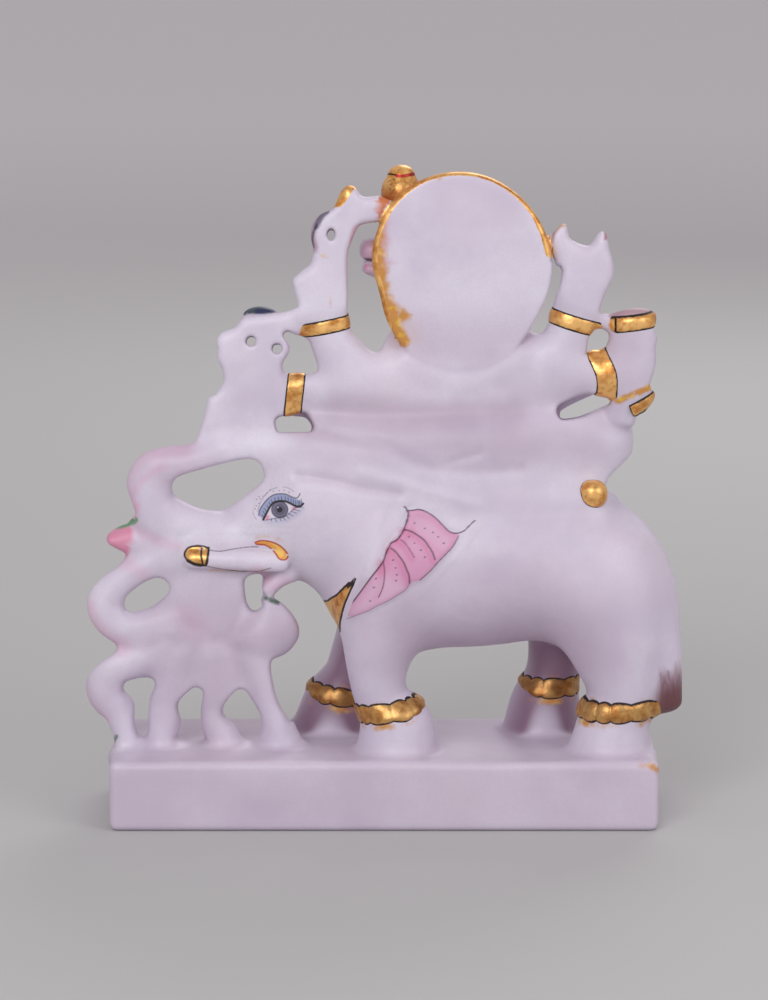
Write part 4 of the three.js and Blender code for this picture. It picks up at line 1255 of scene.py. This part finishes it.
def paint_ear(paint):
    paint.look(EAR_PLANE)
    paint.area(EAR, EAR_PINK, 0.85, 1.0)
    for points, _ in EAR_VEINS:
        paint.line([[x - 1.3, z - 0.6] for x, z in points], 3.0, EAR_DEEP, 0.45, 3.0)
    paint.line([[x + 1.5, z - 1] for x, z in EAR_FRONT[6:14]], 4.5, EAR_DEEP, 0.4, 4.5)
    paint.area(EAR_TIP_LIGHT, WHITE, 0.3, 8.0)
    paint.area(EAR_TOP_LIGHT, WHITE, 0.16, 3.0)
    for points, width in EAR_VEINS:
        paint.line(points, 1.35 * width, EAR_LINE, 0.9)
    for x, z in EAR_DOTS:
        paint.dot(x, z, 0.4, BLACK, 0.85, 0.3)
    for points, width, strength in ((EAR_FRONT, 0.7, 0.9), (EAR_TOP, 0.6, 0.85), (EAR_BACK, 0.5, 0.75),
                                    (EAR_UNDER, 0.4, 0.5)):
        paint.line(points, width, EAR_LINE, strength, 0.35)


FACE_WHITE = [[9, 266.5], [13, 270.5], [18, 270.5], [22, 267], [17, 264.6], [12, 264.8]]
FACE_LINES = [  # outline, width, colour, strength, softness
    ([[8.6, 266.2], [12.5, 270.4], [18, 270.8], [22.8, 267]], 0.9, BLACK, 1.0, 0.3),
    ([[9, 266.3], [12.5, 264.6], [17.2, 264.4], [22, 266.8]], 0.4, BLACK, 0.85, 0.3),
    ([[9, 271.4], [13.5, 274.4], [19, 274.4], [23.5, 271.8]], 0.8, BLACK, 0.85, 0.4),
    ([[-6, 260.4], [-3, 259.8], [3, 258.6], [8, 256.2], [11.5, 256.6]], 0.8, BLACK, 0.95, 0.4),
    ([[-6, 259.2], [-2, 258.4], [4, 256.8], [8, 255]], 1.0, LIP_RED, 0.75, 0.6),
]


def paint_face(paint):
    """The boar's eye, mouth and nostril."""
    paint.look(FACE_PLANE)
    paint.area(FACE_WHITE, WHITE, 0.95)
    for radius, colour in ((2.9, IRIS_DARK), (2.3, EYE_BROWN), (1.3, BLACK)):
        paint.dot(15.4, 267.6, radius, colour, 0.95, 0.3)
    # a small white dot on the pupil: a painted glint
    paint.dot(14.8, 268.5, 0.45, WHITE, 0.9, 0.3)
    paint.lines(FACE_LINES)
    paint.dot(12.2, 257.6, 0.9, ROSE, 0.5, 0.9)


# Soft colour, painted shade and painted pink shade on the stone, as seen from the side

STRAP = [[-36, 104.6], [-27.6, 106.4], [-24.97, 107.82], [-21.42, 110.4], [-17.6, 114.4], [-13.2, 117.8],
         [-16.12, 110.75], [-18.34, 105.34], [-19.76, 99.92], [-20.79, 95.18], [-21.5, 91.5], [-36, 90]]
PINK_PAINT_AND_SHADE = [  # outline, width, strength: pink along the trunks and chin, partly pink paint and partly painted pink shade
    ([[-118.5, 147], [-120.5, 158], [-116, 167.5], [-106, 173.5], [-92, 176]], 8, 0.17),
    ([[-117.5, 152], [-112, 160], [-103, 166.5]], 3.4, 0.18),
    ([[-117, 143], [-115, 148]], 4, 0.34),
    ([[-116, 136.5], [-106, 132], [-96, 129]], 5, 0.18),
    ([[-139, 100], [-136, 92], [-128, 84.5], [-122, 81]], 8, 0.24),
    ([[-140, 61], [-137.5, 53], [-131, 47]], 7, 0.14),
    ([[-92, 96], [-88, 91]], 12, 0.14),
    ([[-58, 116], [-53, 111], [-47, 112]], 7, 0.22),
    ([[-33, 99], [-29, 90], [-34, 78]], 6, 0.18),
    ([[-120, 121], [-112, 116]], 6, 0.18),
    ([[-98, 170], [-86, 160]], 20, 0.08),
]
# painted shade: outline, width, strength
SHADES = [
    ([[8, 89], [40, 86], [72, 88], [92, 82]], 34, 0.38), ([[-86, 90], [-84, 64]], 46, 0.38),
    ([[-36, 184], [0, 181], [40, 179], [92, 177]], 18, 0.34), ([[-20, 196], [20, 191], [60, 192]], 12, 0.32),
    ([[20, 118], [70, 116]], 26, 0.16), ([[-60, 92], [-40, 87]], 24, 0.3),
    ([[-131, 66], [-127, 54]], 14, 0.2), ([[108, 226], [116, 206]], 20, 0.22),
    ([[20, 227], [58, 227]], 22, 0.22), ([[-98, 168], [-84, 160]], 22, 0.14),
]
HALO_GOLD = (
    [0, 3, 5, 12, 20, 35, 50, 67, 90, 113, 130, 150, 170, 185, 200, 212, 221, 225, 360],
    [-3, -0.6, 2.6, 3.0, 2.7, 1.9, 1.4, 1.2, 1.2, 1.3, 1.5, 1.9, 2.2, 2.5, 2.6, 2.3, 1.4, -1.4, -3],
)
HALO_SPILLS = [  # outline, width, amount
    ([[-1, 283], [-2.4, 272], [-1.6, 259]], 4.0, 0.9), ([[-1.6, 259], [0.4, 246], [4, 240]], 3.8, 1.0),
    ([[4, 240], [9.5, 237.5]], 3.2, 1.25), ([[4.4, 236], [6, 230], [9, 226]], 3.2, 1.4),
    ([[25.5, 301]] * 2, 1.6, 0.8), ([[66, 225]] * 2, 1.6, 0.6), ([[-2, 276], [0, 274]], 1.6, 0.6),
]
LOTUS_BUD = [[-131.5, 133], [-129, 137], [-125, 138.5], [-119, 138.6], [-117, 136], [-117.5, 130],
             [-119.5, 124.5], [-122.5, 124.5], [-128, 127.5]]
LOTUS_LEAF = [[-126.5, 137.2], [-123, 139.2], [-118, 141.6], [-114.8, 142.6], [-114.3, 141], [-118, 138.6],
              [-123, 137.4]]
TRUNK_LINES = [  # outline, width, colour, strength, softness
    ([[-131, 131], [-129.5, 134.5], [-126, 137]], 1.2, LOTUS_LIGHT, 0.7, 0.8),
    ([[-126.6, 36], [-125.4, 38.5]], 1.6, GREEN_DARK, 0.8, 0.8),
    ([[-55, 104.4], [-52.4, 103.2], [-49.6, 102.2]], 2.2, GREEN_DARK, 0.85, 1.0),
]
HAND_GOLD = [
    [[-26, 288], [-24, 296], [-20, 300.6], [-15.9, 302.5], [-10, 300], [-9.6, 294.6], [-12.6, 296.3],
     [-14.8, 293.7], [-16.8, 290.7], [-18.6, 288], [-21.5, 286.8]],
    [[-13, 296], [-10, 295], [-5, 294.8], [0, 295.4], [0, 292.8], [-5, 292.4], [-10, 292.7]],
]
SHRINE_SIDE = [[-1.6, 279], [-1.8, 286], [-1.4, 294], [8, 300], [12, 292], [8, 278]]
SHRINE_LOW = [[-1.6, 279], [-1.8, 284], [8, 286], [8, 278]]
HAND_AREAS = [  # outline, colour, strength, softness
    ([[-66, 237.4], [-62.5, 237.6], [-56, 237.8], [-49.5, 238.6], [-48, 240], [-52, 244], [-63, 244],
      [-67, 240]], TEAL, 0.95, 0.8),
    ([[-59, 237.6], [-50, 238.4], [-49, 240], [-54, 240.6], [-59, 240.4]], DEEP_BLUE, 0.8, 1.0),
]
HAND_LINES = [  # outline, width, colour, strength, softness
    ([[-23.2, 291.6]] * 2, 2.0, BLACK, 0.9, 0.6),
    ([[-25.5, 288], [-29.6, 286.2], [-32.6, 282.3], [-34, 277.7], [-34.4, 273], [-33, 268.5]], 5.5,
     MAUVE_GREY, 0.75, 2.0),
    ([[-26.3, 284.8], [-28.2, 283.2], [-29.9, 280.6], [-31, 277.8]], 2.6, NAVY, 0.75, 0.9),
    ([[-31, 278.4], [-32.3, 275.5], [-33, 272], [-32.6, 268.6]], 1.2, NAVY, 0.8, 0.8),
    ([[-42.8, 258], [-43.4, 254], [-42.6, 250]], 1.8, OLIVE, 0.6, 1.0),
    # a pale line along the top of the gem: painted highlight
    ([[-64, 240], [-58, 241.4], [-52.5, 240.4]], 0.8, TEAL_HIGHLIGHT, 0.6, 0.8),
    ([[101.2, 277.5], [102, 275], [102.2, 272.4]], 1.4, NAIL_RED, 0.8, 0.7),
    ([[77.5, 262], [77, 268], [78.2, 275], [81, 279.5]], 1.5, OLD_ROSE, 0.65, 0.9),
    ([[104, 196.6]] * 2, 3.0, OLIVE_LIGHT, 0.6, 1.6),
]
HAND_SPILLS = [  # outline, width, amount
    ([[-28.2, 264.3]] * 2, 1.7, 0.75), ([[-26, 244], [-24.6, 241]], 2.0, 0.6),
    ([[-46, 206], [-43.5, 204.5]], 1.6, 0.5), ([[78.5, 277], [84.5, 279.5]], 1.6, 0.7),
    ([[108.4, 196.9], [114.6, 199.6], [121, 202.3], [124.2, 203.6]], 1.9, 1.0),
    ([[101, 240], [110, 242]], 2.0, 0.5), ([[104.6, 232.6], [105.8, 230.6]], 1.5, 1.1),
]
MUZZLE_LINES = [  # outline, width, colour, strength, softness
    ([[-13, 261.5], [-8, 261.4], [-3, 260.9]], 1.1, BLACK, 0.95, 0.8),
    ([[-12.6, 267.8], [-11.6, 266.4]], 1.6, BLACK, 0.9, 0.9),
    ([[-9.5, 258.4]] * 2, 3.4, ROSE, 0.5, 1.6),
]
TUFT = [[128.5, 67], [130, 71], [133, 70], [137, 72], [142, 69], [142, 48], [133, 45], [128, 48], [127.6, 60]]
TUFT_DARK = [[127.5, 60], [143, 64], [143, 44], [133, 42], [127.5, 44]]


def paint_shades(paint, points, slope):
    """Painted shade in creases, low on the plinth and inside the far legs; painted highlight on ridges."""
    _, y, z = points.T
    hollow = -stone.between(even_values, points)  # how far a point lies below the evened surface
    # painted shade in the creases
    paint.lay(SHADE, 0.34 * np.clip(hollow / 1.1, 0, 1))
    # painted shade towards the foot of the plinth
    paint.lay(SHADE, 0.24 * eased((36 - z) / 5))
    # painted shade on the inner sides of the far legs, which face the near side
    far = eased((y - 3) / 3) * eased((108 - z) / 12) * eased((z - 30) / 6)
    paint.lay(DEEP_SHADE, 0.85 * far * np.clip(0.2 - slope[:, 1], 0, 1))
    # painted highlight on the ridges
    paint.lay(LIGHT, 0.25 * np.clip(-hollow / 1.2 - 0.2, 0, 1))


def paint_trunks(paint):
    """Pink paint and painted pink shade, painted shade, and the lotus on the raised trunk."""
    paint.look(TRUNK_PLANE - 3)
    for marks, colour in ((PINK_PAINT_AND_SHADE, PINK), (SHADES, SHADE)):
        for points, width, strength in marks:
            paint.line(points, width, colour, strength, width * 0.95)
    paint.area(LOTUS_BUD, ROSE, 0.66, 2.4)
    paint.area(LOTUS_LEAF, GREEN, 0.95, 0.7)
    paint.line([[-126.5, 137.2], [-122, 139.6], [-115.5, 142.4]], 0.5, GREEN_DARK, 0.7, 0.5)
    paint.lines(TRUNK_LINES)


def paint_halo(paint, y, flat, angle):
    """The halo's gold edge, and what spilled from it."""
    rim = np.interp(angle, HALO_GOLD[0], HALO_GOLD[1]) + flat
    on_halo = (y < -6) & (flat < 5) & (flat > -9)
    paint.leaf[on_halo] = np.minimum(np.minimum(rim, -12.5 - y), 3 * (1.1 - flat))[on_halo]
    paint.trim[on_halo] = 0
    paint.look(HALO_BACK, (y < -2) & (flat < 1.0))
    paint.smear(HALO_SPILLS)
    paint.line([[-2, 252], [2, 243], [8, 235], [14, 228]], 5, TAN, 0.25, 5)


def paint_hands(paint, near, beside_halo):
    """What the hands hold, and the shrine's side next to the halo."""
    paint.look(HAND_PLANE, near)
    for points in HAND_GOLD:
        paint.gild(points)
    paint.look(HAND_PLANE, beside_halo)
    paint.area(SHRINE_SIDE, SHRINE_ORANGE, 0.95, 0.7)
    paint.area(SHRINE_LOW, SHRINE_BROWN, 0.7, 3)
    paint.look(HAND_PLANE, near)
    for points, colour, strength, soft in HAND_AREAS:
        paint.area(points, colour, strength, soft)
    paint.lines(HAND_LINES)
    paint.smear(HAND_SPILLS)


def paint_tail(paint):
    """The brown tuft of the tail, in strokes."""
    paint.look(-LEG_SIDE)
    paint.area(TUFT, MAUVE, 0.72, 5.0)
    paint.area(TUFT_DARK, HAIR_BROWN, 0.85, 10.0)
    for k in range(9):
        x = 128.6 + 1.3 * k
        stroke = [[x, 71 - (k % 3) * 2.6], [x + 0.6, 63], [x + 0.2, 52 + (k % 2) * 3]]
        paint.line(stroke, 0.9, HAIR_BROWN, 0.5, 0.9)


def paint_spills(paint, points):
    """Overspill of the gold's ground below and above the anklets."""
    for _, centre, half, tilt, most, _, _ in ANKLETS:
        across, through, high = np.array(band_axes(tilt)) @ (points - np.array(centre)).T
        turn = np.arctan2(through, across)
        amount = 0.55 + 0.25 * np.sin(3 * turn + centre[0]) + 0.2 * np.sin(7 * turn + 1)
        share = np.exp(-((high + half + 0.6) / 2.3) ** 2) + 0.5 * np.exp(-((high - half - 0.4) / 1.6) ** 2)
        about = np.hypot(across, through) < most + 2
        paint.stain = np.maximum(paint.stain, about * amount * share)


def paint_idol(points, slope):
    """Soft colour, painted shade and painted highlight that go on the stone and also beneath the fine paint
    of the patches.
    """
    x, y, z = points.T
    paint = Paint(x, -np.abs(y), z)
    near = y < -2
    paint_shades(paint, points, slope)
    paint_trunks(paint)
    paint.look(EAR_PLANE, (y < 0) | (y > 4))
    paint.gild(STRAP, True)
    flat, angle = halo_section(x, z)
    paint_halo(paint, y, flat, angle)
    paint_hands(paint, near, near & (flat > 1.4))
    paint.look(HAND_PLANE, (z > 236.5) & (x > 103.5) & (np.abs(y + 10) < 11))
    paint.area([[105, 234], [105, 246], [127, 246], [127, 234]], DRUM_SKIN, 0.75, 2.5)
    paint.look(0, near & (x < 2) & (z > 252) & (z < 280) & (x > -16))
    paint.area([[-14, 276], [4, 276], [4, 256], [-14, 256]], MUZZLE_PINK, 0.6, 2.0)
    paint.lines(MUZZLE_LINES)
    paint_tail(paint)
    paint.look(-PLINTH_HALF[1], near)
    paint.smear([([[122.5, 32], [124.5, 31], [127, 29.5]], 2.1, 0.8)])
    paint_spills(paint, points)
    return paint


# The idol


ANKLETS = [  # name, centre, half height, tilt, most, phase, how proud
    ("anklet_near_front", (0.6, -21, 53.4), 5.0, 0.15, 17.5, 0.3, 1.2),
    ("anklet_far_front", (-18.9, 21, 51.6), 4.7, -0.16, 17.5, 0.1, 1.0),
    ("anklet_near_rear", (109.5, -21, 54), 5.0, 0.0, 18.2, 0.0, 1.9),
    ("anklet_far_rear", (82.4, 21, 56.2), 5.0, 0.0, 17.5, 0.2, 0.9),
]
ARMLETS = [  # name, centre, half height, tilt, most, bow
    ("armlet_left_low", (-41.5, -10, 200), 4.7, 1.46, 12.5, 0),
    ("armlet_left_high", (-26.5, -10, 232.5), 3.8, 0.2, 13.5, 0),
    ("armlet_right_high", (88, -10, 234), 4.1, -0.3, 13.5, 0),
    ("armlet_right_low", (100.3, -10, 209), 5.5, 1.78, 13.0, 2.6),
]
BRACELETS = [
    ("bracelet_raised", (66.5, 37, 200.5), 2.6, 0.0, 9.5),
    ("bracelet_resting", (14, 34.5, 189.7), 2.6, 1.5, 9.5),
]
STRANDS = [  # name, outline, half-width
    ("necklace", [[20, 230], [22.5, 221], [29, 213.5], [37, 210.8], [45, 213.5], [51.5, 221], [54, 230]],
     1.7),
    ("long_necklace", [[15, 228], [18.5, 214], [27, 204], [37, 200.6], [47, 204], [55.5, 214], [59, 228]],
     1.2),
    ("belt", [[12, 190.4], [24, 188.4], [37, 187.8], [50, 188.4], [62, 190.4]], 2.1),
    ("hem", [[-34, 164], [-16, 158.6], [10, 155], [34, 154], [60, 155.2], [84, 159.5], [100, 166]], 1.3),
]
SHRINE = [[0, -8], [8.6, -8], [9.3, 0], [10.1, 6], [8.8, 9.5], [8.3, 14], [8.4, 21], [9.2, 24.5], [9.3, 28],
          [8.7, 31], [7.4, 33.4], [6.5, 35], [6.1, 36.3], [4.7, 38.4], [2.5, 39.6], [0, 40]]
CROWN = [[0, -1], [20.5, -0.4], [21.7, 1.4], [21.7, 4.4], [20.2, 5.8], [18.9, 6.6], [18.9, 8.2], [18.6, 12],
         [17.6, 15.5], [15.4, 18.2], [13.4, 19.4], [14.2, 20.6], [14, 22.2], [11.9, 25.4], [9.4, 28],
         [7.6, 29.2], [7.4, 30.6], [5.6, 32.2], [2.6, 33.6], [0, 34]]
POT = [[0, -5], [5.6, -4.6], [8.2, -1.5], [9.4, 3], [8.4, 7.4], [5.2, 10.2], [4.9, 11.4], [6.6, 12.6],
       [6.2, 13.8], [3, 14.3], [0, 14.5]]
KNOB = [[0, -6.5], [3.6, -5.9], [6.1, -3.2], [6.7, 0.4], [6.0, 3.6], [3.6, 6.0], [0, 6.6]]
SHRINE_MARKS = [(2.4, 299.6, 0.4), (4.4, 300, 2.2), (6.2, 299, 1.0), (3.4, 297.6, 2.8), (5.2, 297, 0.2),
                (6.8, 296.8, 1.9), (4.6, 295.4, 0.9), (2.6, 295.8, 2.0)]  # x, z, direction
MOST_TRIANGLES = 190000
CREASE_REACH = 2.6  # how far round a point the stone is looked at to find its creases


def make_stone():
    """The carved stone itself, which replaces the solid."""
    points, quads = surface_net(stone.values)
    points, _ = stone.settle_on(points * STEP + np.array(LOW), 2)
    idol = make_mesh("marble_idol", points, quads)
    thin_out(idol, MOST_TRIANGLES)
    points, normals = stone.settle_on(mesh_points(idol), 3)
    set_points(idol, points, normals)
    paint_idol(points, normals).keep(idol)
    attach(idol, "root")
    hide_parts("manibhadra_idol")
    idol.data.materials.append(painted)


def paint_piece(piece, brush, *more):
    """Paints a piece with a function that is given its paint."""
    spots = mesh_points(piece)
    paint = Paint(*spots.T)
    brush(paint, *more)
    paint.keep(piece)


def wear_and_shade(paint, strength):
    """Lets the brown ground show through the gold: wear, and on the far anklets more of it as painted shade.
    """
    paint.lay(GROUND_BROWN, strength * (0.9 + 0.1 * np.sin(0.3 * paint.u + 0.5 * paint.depth + paint.z)))


def paint_shrine(paint):
    """The front, the brow and the small marks of the shrine on the snout."""
    paint.look(HAND_PLANE, paint.depth < 0)
    paint.area([[-4, 293], [6, 297], [20, 294], [20, 272], [-4, 272]], SHRINE_FRONT, 0.6, 8)
    paint.line([[0.6, 303.3], [3.4, 302.9], [7, 301.9]], 0.75, BLACK, 1.0)
    paint.line([[6, 301.9], [9, 301.9], [12, 302.6], [15, 303.4]], 1.5, SHRINE_RED, 0.95, 0.4)
    for x, z, turn in SHRINE_MARKS:
        middle = np.array([x, z])
        reach = np.array([math.cos(turn), math.sin(turn)]) * 0.75
        paint.line([middle - reach, middle + [0.3, 0.2], middle + reach], 0.34, BLACK, 0.75)


def paint_drum_rim(paint):
    paint.look(HAND_PLANE, paint.depth < 0)
    paint.line([[106.9, 240], [106.9, 226]], 1.0, BLACK, 1.0)


def crown_lobes(turn, height):
    """Petals on the two tiers and beads along the brow."""
    low = eased((height - 7.2) / 2) * eased((18.6 - height) / 3)
    high = eased((height - 21.6) / 1.6) * eased((29.4 - height) / 2)
    beads = eased((height + 0.2) / 1.2) * eased((5.6 - height) / 1.2)
    petals = np.abs(np.sin(turn * 6)) ** 0.7 - 0.6
    return 1 + (0.05 * low + 0.06 * high) * petals + 0.03 * beads * (np.abs(np.sin(turn * 17)) - 0.6)


def make_gold():
    """Everything that is modelled in gold."""
    for name, centre, half, tilt, most, phase, proud in ANKLETS:
        anklet = band(name, centre, half, tilt, proud, most, 11, phase)
        # the far anklets get more brown: painted shade
        paint_piece(anklet, wear_and_shade, 0.4 if centre[1] < 0 else 0.68)
    for name, centre, half, tilt, most, bow in ARMLETS:
        band(name, centre, half, tilt, 0.9, most, bow=bow)
    drum_rim = band("drum_rim_high", (115, -10, 234.3), 4.2, 0.12, 1.4, 11.0)
    band("drum_rim_low", (118.5, -10, 194.6), 3.7, 0.5, 1.5, 10.5, end=-4.2)
    shrine = lathe("shrine", SHRINE, (8, -3, 266), (8.6, 23))
    lathe("crown", CROWN, (34, 7.2, 267), (6.4, 19.3, 29.4), 192, crown_lobes)
    lathe("pot", POT, (26, 36, 194.4), (2.2, 10.8))
    knob = lathe("seat_knob", KNOB, (97, -21.5, 154.8))
    away = np.maximum(stone.sample(mesh_points(knob)), 0)  # ink where the knob meets the stone
    knob.data.attributes["rim"].data.foreach_set("value", (away * 1.6 + 0.5).astype(np.float32))
    paint_piece(shrine, paint_shrine)
    paint_piece(drum_rim, paint_drum_rim)
    for name, centre, half, tilt, most in BRACELETS:
        band(name, centre, half, tilt, 0.9, most)
    for name, points, half in STRANDS:
        strand(name, points, half)


stone = carve()
even_values = softened(stone.values, CREASE_REACH)
painted = painted_marble()
gold = gold_material()
make_stone()
for side, place in ((-1, "near"), (1, "far")):
    patch("eye_" + place, EYE_CORNERS, EYE_PLANE, side, 0.24, paint_eye)
    patch("tusk_" + place, TUSK_CORNERS, TUSK_PLANE, side, 0.3, paint_tusk)
    patch("ear_" + place, EAR_CORNERS, EAR_PLANE, side, 0.4, paint_ear)
make_gold()
patch("boar_face", FACE_CORNERS, FACE_PLANE, 1, 0.3, paint_face)


# Camera, lights and floor


def place_object(name, data, place=(0, 0, 0), aim=None):
    """Puts an object into the scene, turned towards a spot if one is given."""
    made = bpy.data.objects.new(name, data)
    made.location = place
    if aim is not None:
        made.rotation_euler = Vector(np.subtract(aim, place)).to_track_quat("-Z", "Y").to_euler()
    bpy.context.scene.collection.objects.link(made)
    return made


def add_floor():
    """A pale sheet whose colour is painted lighter with distance, painted light in place of a lit wall."""
    mesh = bpy.data.meshes.new("floor")
    corners = [(-20, -20, 0), (20, -20, 0), (20, 20, 0), (-20, 20, 0)]
    mesh.from_pydata(corners, [], [(0, 1, 2, 3)])
    shader = Shader("floor_paper")
    away = shader.node("VectorMath", {0: shader.place}, operation="LENGTH").outputs["Value"]
    # painted light: the floor's colour lightens with distance
    far = shader.ramp(away, 0.5, 4.0)
    shader.set(Base_Color=shader.mix(far, (0.56, 0.56, 0.55, 1), (0.85, 0.85, 0.84, 1)), Roughness=0.85)
    mesh.materials.append(shader.material)
    floor = place_object("floor", mesh)


def add_light(name, place, size, power, colour=(1, 1, 1)):
    data = bpy.data.lights.new(name, "AREA")
    data.shape = "DISK"
    data.size = size
    data.energy = power
    data.color = colour
    place_object(name, data, place, (0, 0, 0.15))


def add_camera():
    """From the photo's angle, ten degrees above the level."""
    elevation, distance, height = math.radians(10), 2.0, 0.1482
    data = bpy.data.cameras.new("camera")
    data.sensor_width = 36
    data.lens = 153.5
    data.clip_end = 50
    place = (0, -distance * math.cos(elevation), height + distance * math.sin(elevation))
    bpy.context.scene.camera = place_object("camera", data, place, (0, 0, height))


def add_world():
    world = bpy.data.worlds.new("studio")
    world.use_nodes = True
    background = world.node_tree.nodes["Background"]
    background.inputs["Color"].default_value = (0.99, 0.93, 0.98, 1)
    background.inputs["Strength"].default_value = 0.48
    bpy.context.scene.world = world


add_camera()
add_floor()
add_world()
add_light("key", (-0.6, -1.8, 1.2), 1.2, 16.3, (0.98, 1.0, 1.0))
add_light("fill", (1.4, -1.3, 1.0), 1.2, 7.5, (0.99, 1.0, 1.0))
add_light("back", (0.4, 1.4, 1.2), 1.0, 6)
bpy.context.scene.view_settings.view_transform = "Standard"
